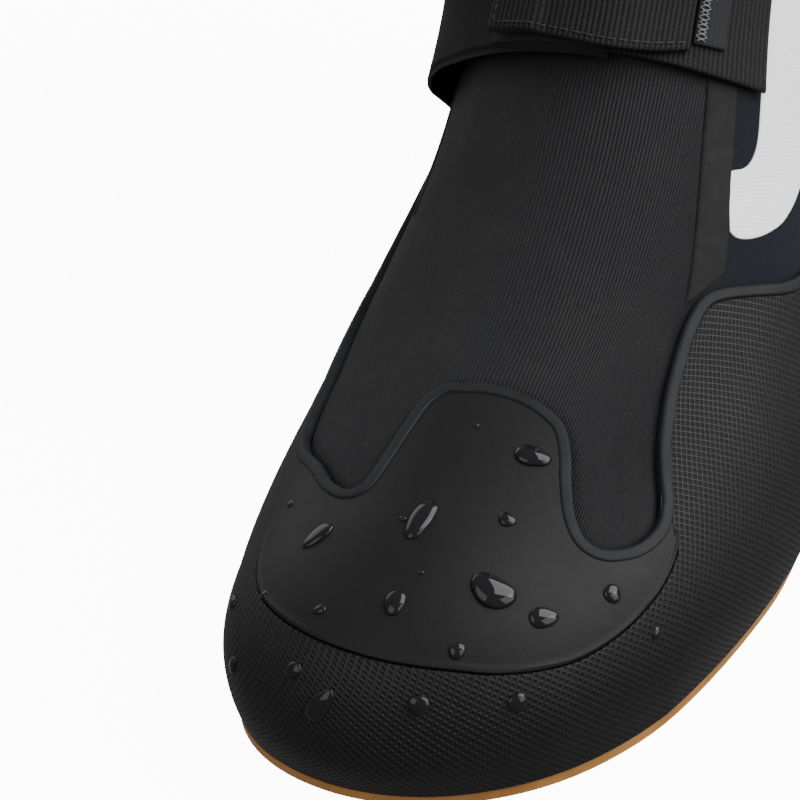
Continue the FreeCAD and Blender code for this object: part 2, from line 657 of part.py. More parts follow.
def flap_grid(f_in, f_out, s0, s1, a, b, n=16, m=4):
    ga, gb = [], []
    for i in range(n + 1):
        s = s0 + (s1 - s0) * i / n
        w0 = flap_w(s) + a
        w1 = flap_w(s) + STRAP_W - b
        ga.append([strap_point(s, w0 + (w1 - w0) * j / m, f_out(s)) for j in range(m + 1)])
        gb.append([strap_point(s, w0 + (w1 - w0) * j / m, f_in(s)) for j in range(m + 1)])
    return slab(ga, gb)


parts["strap_flap"] = flap_grid(FLAP_IN, lambda s: FLAP_IN(s) + ramp(s, S_FREE + 9, S_FREE + 12, 2.3, 1.2), S_FREE, S_ROOT, 0, 0, 30)
parts["hook_tape"] = flap_grid(lambda s: 4.05, lambda s: 4.54, S_FREE + 2, S_MED1 - 2, 1.5, 1.5)
# threads
zz = []
nz = 26
for k in range(nz + 1):
    zz.append(strap_point(S_ROOT + 0.85 + (1.9 if k % 2 else 0.0), 5.6 + (STRAP_W - 7) * k / nz, BASE_OUT + 1.36))
parts["strap_zigzag_thread"] = rod(zz, 0.2)
ft = [strap_point(S_FREE + 1.5 + (S_ROOT - S_FREE - 3) * k / 40, flap_w(S_FREE + 1.5 + (S_ROOT - S_FREE - 3) * k / 40) + 1.6,
                  FLAP_IN(S_FREE + 1.5 + (S_ROOT - S_FREE - 3) * k / 40) + ramp(S_FREE + 1.5 + (S_ROOT - S_FREE - 3) * k / 40, S_FREE + 9, S_FREE + 12, 2.3, 1.2) + 0.26)
      for k in range(41)]
parts["flap_edge_thread"] = rod(ft, 0.2)

# hinge line of the flap: the outer edge of its sewn end
pa = strap_point(S_ROOT, flap_w(S_ROOT), 3.45)
pb = strap_point(S_ROOT, flap_w(S_ROOT) + STRAP_W, 3.45)
ax = unit(sub(pb, pa))
print("flap hinge: pos_mm %s axis %s" % (tuple(round(c, 3) for c in place(pa)), tuple(round(c, 5) for c in ax)))

# ---------------------------------------------------------------- pull loop at the heel
V_HINGE = 12.46
parts["pull_loop_anchor"] = panel(V_HINGE + 0.05, VB - 0.02, lambda v: 180 - 10.5, lambda v: 180 + 10.5, 5, 5, TRIM_OUT - 0.14, 1.5)
hp = skin(V_HINGE, 180, 1.2)
lp = []
zs = (0.0, -2.0, -5.0, -9.0, -15.0, -22.0, -27.0, -30.0)
gap = (0.5, 1.2, 2.6, 3.8, 4.2, 4.2, 3.6, 2.2)
out = (2.2, 2.4, 2.9, 3.3, 3.4, 3.4, 3.2, 3.0)


def loop_curve(extra):
    inner, outer = [], []
    for z, g, u in zip(zs, gap, out):
        f = z / 46.0
        p = skin(V_HINGE + f, 180, 1.55 + 1.2)
        c = (p[1] + u, p[2])
        inner.append((c[0] - g - extra, c[1]))
        outer.append((c[0] + g + extra, c[1]))
    top = (hp[1] + 1.4, hp[2] + 0.4 + extra)
    p = skin(V_HINGE - 32.5 / 46.0, 180, 1.55 + 1.2)
    bottom = (p[1] + 3.1, p[2] - extra)
    return [top] + outer + [bottom] + inner[::-1]


def closed_face(pts):
    c = Part.BSplineCurve()
    c.interpolate([place((-PULL_W / 2, y, z)) for y, z in pts], PeriodicFlag=True)
    return Part.Wire([c.toShape()])


wo, wi = closed_face(loop_curve(1.2)), closed_face(loop_curve(0.0))
fo = Part.Face(wo).extrude(V(PULL_W, 0, 0))
fi = Part.Face(wi).extrude(V(PULL_W, 0, 0))
parts["pull_loop"] = fo.cut(fi).Solids[0]
print("pull hinge: pos_mm %s" % (tuple(round(c, 3) for c in place((0.0, hp[1] + 0.9, hp[2]))),))

for k, s in parts.items():
    check(k, s)
os.makedirs("parts", exist_ok=True)
for k, s in parts.items():
    s.exportStep("parts/%s.step" % k)
bb = None
for s in parts.values():
    b = s.BoundBox
    bb = b if bb is None else bb.united(b)
print("box", bb)
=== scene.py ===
import bpy
import bmesh
import math
import numpy as np
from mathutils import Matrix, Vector


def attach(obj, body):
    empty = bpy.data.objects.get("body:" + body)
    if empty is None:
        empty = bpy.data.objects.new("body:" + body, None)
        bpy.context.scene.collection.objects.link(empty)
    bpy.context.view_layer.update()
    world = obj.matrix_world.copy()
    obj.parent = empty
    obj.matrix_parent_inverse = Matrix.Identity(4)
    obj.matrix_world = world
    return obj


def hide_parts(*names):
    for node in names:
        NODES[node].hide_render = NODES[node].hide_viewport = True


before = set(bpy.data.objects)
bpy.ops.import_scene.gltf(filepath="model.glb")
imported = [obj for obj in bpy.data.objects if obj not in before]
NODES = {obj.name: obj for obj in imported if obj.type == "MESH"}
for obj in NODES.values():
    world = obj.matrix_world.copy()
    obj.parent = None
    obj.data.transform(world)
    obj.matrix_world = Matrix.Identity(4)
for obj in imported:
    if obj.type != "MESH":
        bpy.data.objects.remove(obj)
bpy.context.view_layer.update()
rng = np.random.default_rng(7)

# ------------------------------------------------------------------ the last, as in the CAD model (mm)
OX, OY = -5.06, -145.55
ROWS = np.array([
    (4.0, 4.0, 281.0, 4.0), (0.0, 11.0, 286.5, 14.0), (0.5, 20.0, 288.5, 26.0), (6.0, 30.0, 288.0, 38.0),
    (18.0, 38.0, 286.0, 50.0), (40.0, 45.5, 283.0, 60.0), (70.0, 53.0, 280.0, 70.0), (104.0, 64.0, 276.5, 80.0),
    (136.0, 79.0, 273.5, 91.0), (158.0, 98.0, 271.5, 104.0), (170.0, 122.0, 271.5, 124.0),
    (175.0, 152.0, 274.5, 152.0), (176.0, 190.0, 279.5, 190.0), (174.0, 236.0, 285.0, 236.0)])
OUTLINE = np.array([
    (-1, -13, -13), (4, 6.5, -34), (10, 15, -39.5), (20, 24.8, -43), (35, 36.3, -45.6), (55, 46.8, -46.8),
    (75, 53.2, -46.2), (95, 57, -44.6), (115, 58, -42.5), (140, 56.5, -40.5), (170, 51, -39), (200, 45.5, -38),
    (230, 41.5, -37), (250, 38.5, -35), (265, 33, -30), (278, 22.5, -21), (288.5, 0, 0)], float)
DORSAL = np.array([(-0.5, 15), (0.5, 20), (6, 30), (18, 38), (40, 45.5), (70, 53), (104, 64), (136, 79), (158, 98),
                   (165, 108), (172, 130), (176, 190), (178, 400), (400, 400)], float)
LEG = np.array([(0, 1.0), (20, 1.0), (45, .93), (70, .93), (90, .95), (110, .90), (140, .86), (170, .92), (236, 1.1)])
CENTRE = np.array([(-1, -13), (10, -11.5), (40, -6), (85, -1.5), (120, 0), (300, 0)], float)
SHAFT_HALF = {9: 37.5, 10: 36.0, 11: 37.0, 12: 40.5, 13: 45.0}
NCOL = 16
HEEL = {4: (51.0, 53.0, 50.0), 5: (49.0, 51.0, 48.5), 6: (46.0, 48.0, 46.5), 7: (42.5, 44.0, 43.5), 8: (39.5, 41.0, 40.5)}
RING8 = {0: 38.0, 1: 43.0, 2: 42.0, 3: 42.5, 4: 41.5, 5: 40.8, 15: 33.0, 14: 33.5, 13: 36.0, 12: 36.6, 11: 38.0}


def lin(tab, x, k=1):
    tab = np.asarray(tab, float)
    return np.interp(x, tab[:, 0], tab[:, k])


def seam(tab, v):
    return sum(lin(tab, v + 0.14 * k) for k in range(-3, 4)) / 7


def half(side, y, z):
    o = lin(OUTLINE, y, 1) if side > 0 else -lin(OUTLINE, y, 2)
    xc = lin(CENTRE, y)
    w = o - xc if side > 0 else o + xc
    zd = lin(DORSAL, y)
    if z <= 20.0:
        g = 1 - 0.085 * ((20.0 - z) / 16.0) ** 2
    else:
        e = max(0.0, min(1.0, (z - 20.0) / max(zd - 20.0, 1e-3)))
        g = (1 - e ** 1.9) ** 0.53
    k = max(0.0, min(1.0, (y - 120) / 60.0))
    k = k * k * (3 - 2 * k)
    return w * g * ((1 - k) + k * lin(LEG, z))


def width_table():
    tab = []
    for i, (dy, dz, hy, hz) in enumerate(ROWS):
        if i in SHAFT_HALF:
            tab.append([SHAFT_HALF[i]] * NCOL)
            continue
        w = [0.0] * NCOL
        for side in (1, -1):
            for c in range(1, 8):
                ph = math.pi * c / 8
                t = (1 - math.cos(ph)) / 2
                w[c if side > 0 else NCOL - c] = half(side, dy + (hy - dy) * t, dz + (hz - dz) * t) / math.sin(ph)
        w[0] = (w[1] + w[15]) / 2
        w[8] = (w[7] + w[9]) / 2
        tab.append(w)
    for i, (a, b, c) in HEEL.items():
        tab[i][8], tab[i][7], tab[i][9], tab[i][6], tab[i][10] = a, b, b - 0.8, c, c - 2.0
    for c, w in RING8.items():
        tab[8][c] = w
    return np.array(tab, float)


TAB = width_table()
REXT = np.vstack([2 * ROWS[0] - ROWS[1], ROWS, 2 * ROWS[-1] - ROWS[-2]])
TEXT = np.vstack([2 * TAB[0] - TAB[1], TAB, 2 * TAB[-1] - TAB[-2]])


def bw(f):
    return [(1 - f) ** 3 / 6, (3 * f ** 3 - 6 * f ** 2 + 4) / 6, (-3 * f ** 3 + 3 * f ** 2 + 3 * f + 1) / 6, f ** 3 / 6]


def lastp(v, d):
    v, d = np.broadcast_arrays(np.asarray(v, float), np.asarray(d, float))
    i = np.clip(np.floor(v).astype(int), 0, 12)
    wv = bw(v - i)
    ph = np.radians(d) % (2 * np.pi)
    c = ph / (2 * np.pi) * NCOL
    ci = np.floor(c).astype(int)
    wc = bw(c - ci)
    prof = sum(wv[k][..., None] * REXT[i + k] for k in range(4))
    w = 0
    for k in range(4):
        w = w + wv[k] * sum(wc[m] * TEXT[i + k, (ci + m - 1) % NCOL] for m in range(4))
    t = (1 - np.cos(ph)) / 2
    y = prof[..., 0] + (prof[..., 2] - prof[..., 0]) * t
    z = prof[..., 1] + (prof[..., 3] - prof[..., 1]) * t
    x = lin(CENTRE, y) * np.clip(1 - (v - 6) / 4, 0, 1) + np.sin(ph) * w
    return np.stack([x, y, z], -1)


def partials(v, d):
    h, e = 0.03, 0.5
    return (lastp(v + h, d) - lastp(v - h, d)) / (2 * h), (lastp(v, d + e) - lastp(v, d - e)) / (2 * e)


def unit(a):
    return a / (np.linalg.norm(a, axis=-1, keepdims=True) + 1e-12)


def normal(v, d):
    sv, sf = partials(v, d)
    return unit(np.cross(sf, sv))


def crease(v, d):
    """Soft folds of the neoprene around the ankle and shaft, mm along the normal. Nil where the strap and the instep are."""
    v, d = np.broadcast_arrays(np.asarray(v, float), np.asarray(d, float))
    r = np.radians(d)
    dd = (d + 180) % 360 - 180
    k = np.clip((v - 8.9) / 1.2, 0, 1) * np.clip((12.75 - v) / 1.2, 0, 1)
    side = np.clip((np.abs(dd) - 95) / 50, 0, 1)
    k2 = side * np.clip((v - 5.2) / 1.6, 0, 1) * np.clip((10.2 - v) / 1.5, 0, 1)
    a = 0.55 * np.sin(v * 3.1 + 1.3 * np.cos(r) + 0.6) * (0.6 + 0.4 * np.cos(2 * r + 0.5)) + 0.35 * np.sin(v * 1.7 - 2 * r + 1.0) \
        + 0.22 * np.sin(5.3 * v + 1.8 * np.sin(r * 1.0 + 0.7))
    b = 0.6 * np.sin(4.6 * v + 1.1 * np.cos(r * 2)) + 0.3 * np.sin(7.7 * v + 2 * r)
    return k * a + 0.8 * k2 * b


def skin(v, d, o):
    """Point in the part's frame, mm, at distance o outside the last."""
    P = lastp(v, d) + normal(v, d) * (np.asarray(o, float) + crease(v, d))[..., None]
    return P + np.array([OX, OY, 0.0])


def shift(v, d, side, dist):
    sv, sf = partials(v, d)
    a, b, c = (sv * sv).sum(-1), (sv * sf).sum(-1), (sf * sf).sum(-1)
    p, q = (sv * side).sum(-1) * dist, (sf * side).sum(-1) * dist
    det = a * c - b * b
    return v + (p * c - q * b) / det, d + (a * q - b * p) / det


def catmull(pts, n):
    pts = np.asarray(pts, float)
    m = len(pts) - 1
    t = np.linspace(0, m, n + 1)
    i = np.minimum(t.astype(int), m - 1)
    f = (t - i)[:, None]
    a, b, c, d = pts[np.maximum(i - 1, 0)], pts[i], pts[i + 1], pts[np.minimum(i + 2, m)]
    return 0.5 * (2 * b + (c - a) * f + (2 * a - 5 * b + 4 * c - d) * f ** 2 + (3 * b - a - 3 * c + d) * f ** 3)


def resample(pts, n):
    P = lastp(pts[:, 0], pts[:, 1])
    L = np.concatenate([[0], np.cumsum(np.linalg.norm(np.diff(P, axis=0), axis=1))])
    s = np.linspace(0, L[-1], n + 1)
    return np.stack([np.interp(s, L, pts[:, k]) for k in range(2)], 1)


EDGE_MEDIAL = [(4.25, -179.6), (4.1, -170), (3.8, -155), (3.5, -138), (3.3, -120), (3.2, -104), (3.16, -91), (3.2, -84),
               (3.28, -79), (3.4, -75), (3.48, -71), (3.48, -67), (3.46, -62.5), (3.42, -58.8), (3.41, -55.5)]
EDGE_CAP = [(3.42, -52.3), (3.62, -47.5), (3.925, -41.4), (4.138, -33.8), (4.339, -27.8), (4.583, -23.9), (4.9, -22.7),
            (5.225, -21.4), (5.51, -19.2), (5.715, -14.5), (5.805, -8.2), (5.849, -1.5), (5.809, 6.4), (5.684, 13.3),
            (5.467, 19.7), (5.173, 23.6), (4.801, 26.0), (4.416, 28.0), (4.097, 30.2), (3.829, 33.3), (3.664, 37.1),
            (3.62, 40.2)]
EDGE_LATERAL = [(3.7, 42.6), (3.88, 43.6), (4.07, 43.9), (4.567, 43.4), (4.919, 43.2), (5.265, 42.8), (5.616, 42.7),
                (5.863, 43.6), (5.964, 45.9), (5.83, 51.6), (5.504, 59.7), (4.964, 70.3), (4.5, 82), (4.15, 95),
                (3.85, 110), (3.7, 126), (3.72, 142), (3.9, 158), (4.15, 171), (4.25, 179.6)]
CAP_LOW = [(3.40, -52.6), (3.241, -44.8), (3.016, -38.3), (2.924, -32.5), (2.922, -27.3), (3.0, -20.4), (3.07, -12.9),
           (3.09, -4.8), (3.03, 3.9), (2.916, 11.6), (2.741, 18.4), (2.62, 24.6), (2.575, 29.3), (2.658, 34.4),
           (2.835, 38.7), (3.105, 42.6), (3.38, 44.6), (3.55, 45.0)]
SEAM_LAT = [(0.3, 58), (4.0, 53), (5.9, 50.0), (6.48, 48.6), (7.14, 44.6), (7.84, 41.5), (9, 38), (10.5, 37), (13, 37)]
SEAM_MED = [(0.3, -72), (4.0, -80), (5.0, -88), (5.9, -92), (7.14, -92), (7.84, -91), (9, -86), (10.5, -78), (13, -68)]
BACK_SEAM = 150.0
SOCK_IN, SOCK_OUT = -4.3, -0.5
RUB_IN, RUB_OUT = 0.42, 1.5
TRIM_IN = -0.3
BEAD_W = 2.5
STRAP_W, Q0 = 38.0, 160.5
VB = 13 - 9.0 / 46.0

EDGE = resample(catmull(EDGE_MEDIAL + EDGE_CAP + EDGE_LATERAL, 54 * 24), 1500)
EDGE_P = lastp(EDGE[:, 0], EDGE[:, 1])


def edge_distance(v, d):
    """Distance to the bead's middle line, mm, positive on the sock side."""
    P = lastp(v, d).reshape(-1, 3)
    out = np.empty(len(P))
    near = np.empty(len(P), int)
    for a in range(0, len(P), 4000):
        q = ((P[a:a + 4000, None, :] - EDGE_P[None]) ** 2).sum(-1)
        near[a:a + 4000] = q.argmin(1)
        out[a:a + 4000] = np.sqrt(q.min(1))
    T = unit(np.gradient(EDGE_P, axis=0))
    N = normal(EDGE[:, 0], EDGE[:, 1])
    up = np.cross(N, T)                    # towards the sock
    s = ((P - EDGE_P[near]) * up[near]).sum(-1)
    return (np.sign(s) * out).reshape(np.shape(v) if np.shape(v) else ())


# ------------------------------------------------------------------ meshes
def mesh_object(name, verts_mm, faces, uv=None, mat=None, smooth=True, sharp=35):
    me = bpy.data.meshes.new(name)
    me.from_pydata((np.asarray(verts_mm) / 1000.0).tolist(), [], faces if isinstance(faces, list) else faces.tolist())
    if uv is not None:
        lay = me.uv_layers.new(name="UVMap")
        vi = np.empty(len(me.loops), int)
        me.loops.foreach_get("vertex_index", vi)
        lay.data.foreach_set("uv", np.asarray(uv, float)[vi].astype(np.float32).ravel())
    bm = bmesh.new()
    bm.from_mesh(me)
    bmesh.ops.recalc_face_normals(bm, faces=bm.faces)
    bm.to_mesh(me)
    bm.free()
    if smooth:
        me.shade_smooth()
        if sharp:
            me.set_sharp_from_angle(angle=math.radians(sharp))
    ob = bpy.data.objects.new(name, me)
    bpy.context.scene.collection.objects.link(ob)
    if mat is not None:
        me.materials.append(mat)
    return ob


def slab(name, outer, inner, uv=None, mat=None, closed=False, sharp=35):
    """Closed shell between two grids (n, m, 3) in mm."""
    n, m = outer.shape[:2]
    idx = np.arange(n * m).reshape(n, m)
    if closed:
        idx = np.vstack([idx, idx[:1]])
    a, b, c, d = idx[:-1, :-1].ravel(), idx[1:, :-1].ravel(), idx[1:, 1:].ravel(), idx[:-1, 1:].ravel()
    F = [np.stack([a, b, c, d], 1), np.stack([d, c, b, a], 1) + n * m]

    def strip(line):
        p, q = line[:-1], line[1:]
        return np.stack([p, q, q + n * m, p + n * m], 1)
    F += [strip(idx[:, 0]), strip(idx[:, -1])]
    if not closed:
        F += [strip(idx[0]), strip(idx[-1])]
    V = np.concatenate([outer.reshape(-1, 3), inner.reshape(-1, 3)])
    U = None if uv is None else np.concatenate([uv.reshape(-1, 2)] * 2)
    return mesh_object(name, V, np.concatenate(F), U, mat, sharp=sharp)


def rounded(L, r, n_mid, n_edge=4, lo=True, hi=True):
    """Parameters 0..1 over length L with extra rows near both ends, and the height factor 0..1 of a rounded edge of radius r."""
    r = min(r, L * 0.3)
    e = r * (1 - np.cos(np.linspace(0, np.pi / 2, n_edge + 1)))[:-1]
    x = np.concatenate([e if lo else [0], np.linspace(r if lo else 0, L - r if hi else L, n_mid + 1)[0 if lo else 1:], (L - e[::-1]) if hi else []])
    x = np.unique(np.round(x, 6))
    h = np.ones_like(x)
    if lo:
        k = x < r
        h[k] = np.sqrt(1 - (1 - x[k] / r) ** 2)
    if hi:
        k = x > L - r
        h[k] = np.minimum(h[k], np.sqrt(np.clip(1 - (1 - (L - x[k]) / r) ** 2, 0, 1)))
    return x / L, h


def uv_of(v, d, dref=0.0, vref=0.0):
    """Arc-length coordinates in mm: u around the boot from dref, w up from vref."""
    v, d = np.broadcast_arrays(v, d)
    dg = np.linspace(-181, 361, 543)
    vg = np.linspace(-0.5, 13.1, 137)
    G = UVCACHE
    i = np.clip(((v - vg[0]) / (vg[1] - vg[0])), 0, len(vg) - 1.001)
    j = np.clip(((d - dg[0]) / (dg[1] - dg[0])), 0, len(dg) - 1.001)
    i0, j0 = i.astype(int), j.astype(int)
    fi, fj = i - i0, j - j0

    def bil(A):
        return (A[i0, j0] * (1 - fi) * (1 - fj) + A[i0 + 1, j0] * fi * (1 - fj) + A[i0, j0 + 1] * (1 - fi) * fj + A[i0 + 1, j0 + 1] * fi * fj)
    jr = (dref - dg[0]) / (dg[1] - dg[0])
    ref = G[0][i0, int(round(jr))] * (1 - fi) + G[0][i0 + 1, int(round(jr))] * fi
    ir = int(round((vref - vg[0]) / (vg[1] - vg[0])))
    return np.stack([bil(G[0]) - ref, bil(G[1]) - (G[1][ir, j0] * (1 - fj) + G[1][ir, j0 + 1] * fj)], -1)


def strip_uv(v, d, vref_d=20.0):
    """Isometric strip coordinates: u along the sole line, w square to it."""
    dg = np.linspace(-181, 361, 543)
    vg = np.linspace(-0.5, 13.1, 137)
    VV, DD = np.meshgrid(vg, dg, indexing="ij")
    sv, sf = partials(VV, DD)
    ls = np.linalg.norm(sf, axis=-1)
    tt = sf / ls[..., None]
    along = (sv * tt).sum(-1)
    perp = np.linalg.norm(sv - along[..., None] * tt, axis=-1)
    W = np.concatenate([np.zeros((1, len(dg))), np.cumsum((perp[1:] + perp[:-1]) / 2 * np.diff(vg)[:, None], axis=0)], 0)
    k = np.ones(15) / 15
    W = np.stack([np.convolve(np.pad(r, 7, mode="edge"), k, mode="valid") for r in W])
    U = UVCACHE[0]
    ref = np.empty(len(vg))
    dcur = vref_d
    for i in range(len(vg)):
        ref[i] = np.interp(dcur, dg, U[i])
        j = int(round(dcur - dg[0]))
        if i + 1 < len(vg):
            dcur = dcur - along[i, j] / ls[i, j] * (vg[i + 1] - vg[i])
    U = U - ref[:, None]
    i = np.clip(((v - vg[0]) / (vg[1] - vg[0])), 0, len(vg) - 1.001)
    j = np.clip(((d - dg[0]) / (dg[1] - dg[0])), 0, len(dg) - 1.001)
    i0, j0 = i.astype(int), j.astype(int)
    fi, fj = i - i0, j - j0

    def bil(A):
        return A[i0, j0] * (1 - fi) * (1 - fj) + A[i0 + 1, j0] * fi * (1 - fj) + A[i0, j0 + 1] * (1 - fi) * fj + A[i0 + 1, j0 + 1] * fi * fj
    return np.stack([bil(U), bil(W)], -1)


def _uvcache():
    dg = np.linspace(-181, 361, 543)
    vg = np.linspace(-0.5, 13.1, 137)
    P = lastp(vg[:, None], dg[None, :])
    U = np.concatenate([np.zeros((len(vg), 1)), np.cumsum(np.linalg.norm(np.diff(P, axis=1), axis=2), axis=1)], 1)
    W = np.concatenate([np.zeros((1, len(dg))), np.cumsum(np.linalg.norm(np.diff(P, axis=0), axis=2), axis=0)], 0)
    return U, W


UVCACHE = _uvcache()


# ------------------------------------------------------------------ materials
class Mat:
    def __init__(self, name, color, rough, **sock):
        self.m = bpy.data.materials.new(name)
        self.m.use_nodes = True
        self.t = self.m.node_tree
        self.b = self.t.nodes["Principled BSDF"]
        self.b.inputs["Base Color"].default_value = tuple(color) + (1,)
        self.b.inputs["Roughness"].default_value = rough
        for k, x in sock.items():
            self.b.inputs[k.replace("_", " ")].default_value = x

    def node(self, kind, **kw):
        n = self.t.nodes.new(kind)
        for k, x in kw.items():
            setattr(n, k, x)
        return n

    def link(self, a, b):
        self.t.links.new(a, b)

    def uv(self):
        n = self.node("ShaderNodeUVMap")
        n.uv_map = "UVMap"
        return n.outputs[0]

    def obj(self):
        return self.node("ShaderNodeTexCoord").outputs["Object"]

    def math(self, op, a, b=None, c=None, clamp=False):
        n = self.node("ShaderNodeMath", operation=op, use_clamp=clamp)
        for i, x in enumerate((a, b, c)):
            if x is None:
                continue
            if isinstance(x, (int, float)):
                n.inputs[i].default_value = x
            else:
                self.link(x, n.inputs[i])
        return n.outputs[0]

    def split(self, vec):
        n = self.node("ShaderNodeSeparateXYZ")
        self.link(vec, n.inputs[0])
        return n.outputs[0], n.outputs[1], n.outputs[2]

    def mapping(self, vec, scale=(1, 1, 1), rot=(0, 0, 0), loc=(0, 0, 0)):
        n = self.node("ShaderNodeMapping")
        self.link(vec, n.inputs[0])
        n.inputs["Scale"].default_value = scale
        n.inputs["Rotation"].default_value = rot
        n.inputs["Location"].default_value = loc
        return n.outputs[0]

    def noise(self, vec, scale, detail=2.0, rough=0.5, dist=0.0):
        n = self.node("ShaderNodeTexNoise")
        self.link(vec, n.inputs["Vector"])
        n.inputs["Scale"].default_value = scale
        n.inputs["Detail"].default_value = detail
        n.inputs["Roughness"].default_value = rough
        n.inputs["Distortion"].default_value = dist
        return n.outputs["Fac"]

    def ramp(self, fac, stops):
        n = self.node("ShaderNodeValToRGB")
        self.link(fac, n.inputs[0])
        cr = n.color_ramp
        while len(cr.elements) < len(stops):
            cr.elements.new(0.5)
        for e, (p, c) in zip(cr.elements, stops):
            e.position = p
            e.color = (c, c, c, 1) if isinstance(c, (int, float)) else tuple(c) + (1,)
        return n.outputs[0]

    def step(self, x, a, b):
        n = self.node("ShaderNodeMapRange", interpolation_type="SMOOTHSTEP", clamp=True)
        self.link(x, n.inputs[0])
        n.inputs[1].default_value, n.inputs[2].default_value = a, b
        n.inputs[3].default_value, n.inputs[4].default_value = 0, 1
        return n.outputs[0]

    def mixc(self, fac, a, b):
        n = self.node("ShaderNodeMix", data_type="RGBA")
        if isinstance(fac, (int, float)):
            n.inputs[0].default_value = fac
        else:
            self.link(fac, n.inputs[0])
        for i, x in ((6, a), (7, b)):
            if isinstance(x, tuple):
                n.inputs[i].default_value = x + (1,)
            else:
                self.link(x, n.inputs[i])
        return n.outputs[2]

    def color(self, c):
        self.link(c, self.b.inputs["Base Color"])

    def rough(self, fac, lo, hi):
        n = self.node("ShaderNodeMapRange")
        self.link(fac, n.inputs[0])
        n.inputs[3].default_value, n.inputs[4].default_value = lo, hi
        self.link(n.outputs[0], self.b.inputs["Roughness"])

    def bump(self, height, dist_mm, strength=1.0):
        n = self.node("ShaderNodeBump")
        n.inputs["Distance"].default_value = dist_mm / 1000.0
        n.inputs["Strength"].default_value = strength
        self.link(height, n.inputs["Height"])
        last = getattr(self, "_bump", None)
        if last is not None:
            self.link(last, n.inputs["Normal"])
        self._bump = n.outputs[0]
        for l in list(self.b.inputs["Normal"].links):
            self.t.links.remove(l)
        self.link(n.outputs[0], self.b.inputs["Normal"])


def srgb(*c):
    """Linear colour; the blacks are deepened, as the light here is strong."""
    k = 0.27 if max(c) < 90 else 1.0
    return tuple(k * ((x / 255.0) / 12.92 if x / 255.0 <= 0.04045 else ((x / 255.0 + 0.055) / 1.055) ** 2.4) for x in c)


def mat_cap():
    m = Mat("smooth_rubber", srgb(40, 41, 42), 0.5, Specular_IOR_Level=0.16)
    v = m.obj()
    big = m.noise(v, 40, 3, 0.5)
    m.color(m.ramp(big, [(0.3, srgb(38, 38, 39)), (0.7, srgb(47, 47, 48))]))
    m.rough(m.noise(v, 160, 4, 0.6), 0.46, 0.6)
    m.bump(m.noise(v, 4200, 2, 0.5), 0.012)
    m.bump(m.noise(v, 350, 3, 0.5), 0.06)
    return m.m


def mat_bead():
    m = Mat("bead_rubber", srgb(52, 54, 57), 0.6, Specular_IOR_Level=0.16)
    v = m.obj()
    m.color(m.ramp(m.noise(v, 120, 3), [(0.3, srgb(46, 48, 51)), (0.7, srgb(60, 62, 65))]))
    m.bump(m.noise(v, 2600, 3, 0.6), 0.03)
    m.bump(m.noise(v, 500, 2, 0.5), 0.06)
    return m.m


def mat_waffle():
    m = Mat("waffle_rubber", srgb(48, 48, 48), 0.5, Specular_IOR_Level=0.2)
    uv = m.mapping(m.uv(), rot=(0, 0, math.radians(-50)))
    x, y, _ = m.split(uv)
    P = 1.17
    ax = m.math("ABSOLUTE", m.math("SUBTRACT", m.math("FRACT", m.math("DIVIDE", x, P)), 0.5))
    ay = m.math("ABSOLUTE", m.math("SUBTRACT", m.math("FRACT", m.math("DIVIDE", y, P)), 0.5))
    mx = m.math("MAXIMUM", ax, ay)
    wall = m.step(mx, 0.24, 0.40)
    pit = m.step(mx, 0.08, 0.20)
    h = m.math("ADD", m.math("MULTIPLY", wall, 0.72), m.math("MULTIPLY", pit, 0.28))
    big = m.noise(m.obj(), 60, 3)
    base = m.ramp(big, [(0.3, srgb(43, 43, 43)), (0.7, srgb(54, 54, 53))])
    # the pits are painted near-black (24) against the raised walls: painted shade in the recesses
    m.color(m.mixc(h, srgb(24, 24, 25), base))
    m.rough(h, 0.66, 0.5)
    m.bump(h, 0.30)
    m.bump(m.noise(m.obj(), 3000, 2), 0.01)
    return m.m


def rib_lines(m, uv):
    x, y, _ = m.split(uv)
    wob = m.math("MULTIPLY", m.math("SUBTRACT", m.noise(m.mapping(uv, scale=(0.2, 0.05, 1)), 1.0, 2), 0.5), 0.6)
    ph = m.math("MULTIPLY", m.math("ADD", x, wob), 2 * math.pi / 0.84)
    rib = m.math("MULTIPLY", m.math("ADD", m.math("SINE", ph), 1.0), 0.5)
    brk = m.noise(m.mapping(uv, scale=(1.8, 0.9, 1)), 1.5, 3, 0.65)
    return m.math("MULTIPLY", rib, m.math("ADD", m.math("MULTIPLY", brk, 1.3), 0.1)), rib


def mat_vamp(name="vamp_neoprene", ribs_amp=0.13, lift=1.0, lo=(38, 38, 41), hi=(46, 46, 49)):
    m = Mat(name, srgb(44, 45, 48), 0.66, Specular_IOR_Level=0.14, Sheen_Weight=0.02, Sheen_Roughness=0.4, Sheen_Tint=(0.85, 0.88, 1, 1))
    uv = m.uv()
    h, rib = rib_lines(m, uv)
    fine = m.noise(m.obj(), 1800, 3, 0.65)
    big = m.noise(m.obj(), 22, 3, 0.55)
    wear_and_highlight_mask = m.step(m.noise(m.obj(), 55, 4, 0.7, 0.6), 0.5, 0.72)
    base = m.ramp(big, [(0.3, srgb(*lo)), (0.7, srgb(*hi))])
    # rib crowns are painted lighter than the valleys: painted highlight on the crowns and painted shade in the valleys;
    # the noise mask makes the painted crown highlight brighter still in worn patches
    top = m.mixc(m.math("MULTIPLY", wear_and_highlight_mask, 0.6), srgb(56, 57, 60), srgb(88, 88, 88))
    m.color(m.mixc(m.math("MULTIPLY", h, 0.75 * lift, clamp=True), base, top))
    m.rough(fine, 0.52, 0.72)
    m.bump(h, ribs_amp)
    m.bump(fine, 0.06)
    m.bump(m.noise(m.obj(), 240, 3, 0.6), 0.12)
    return m.m


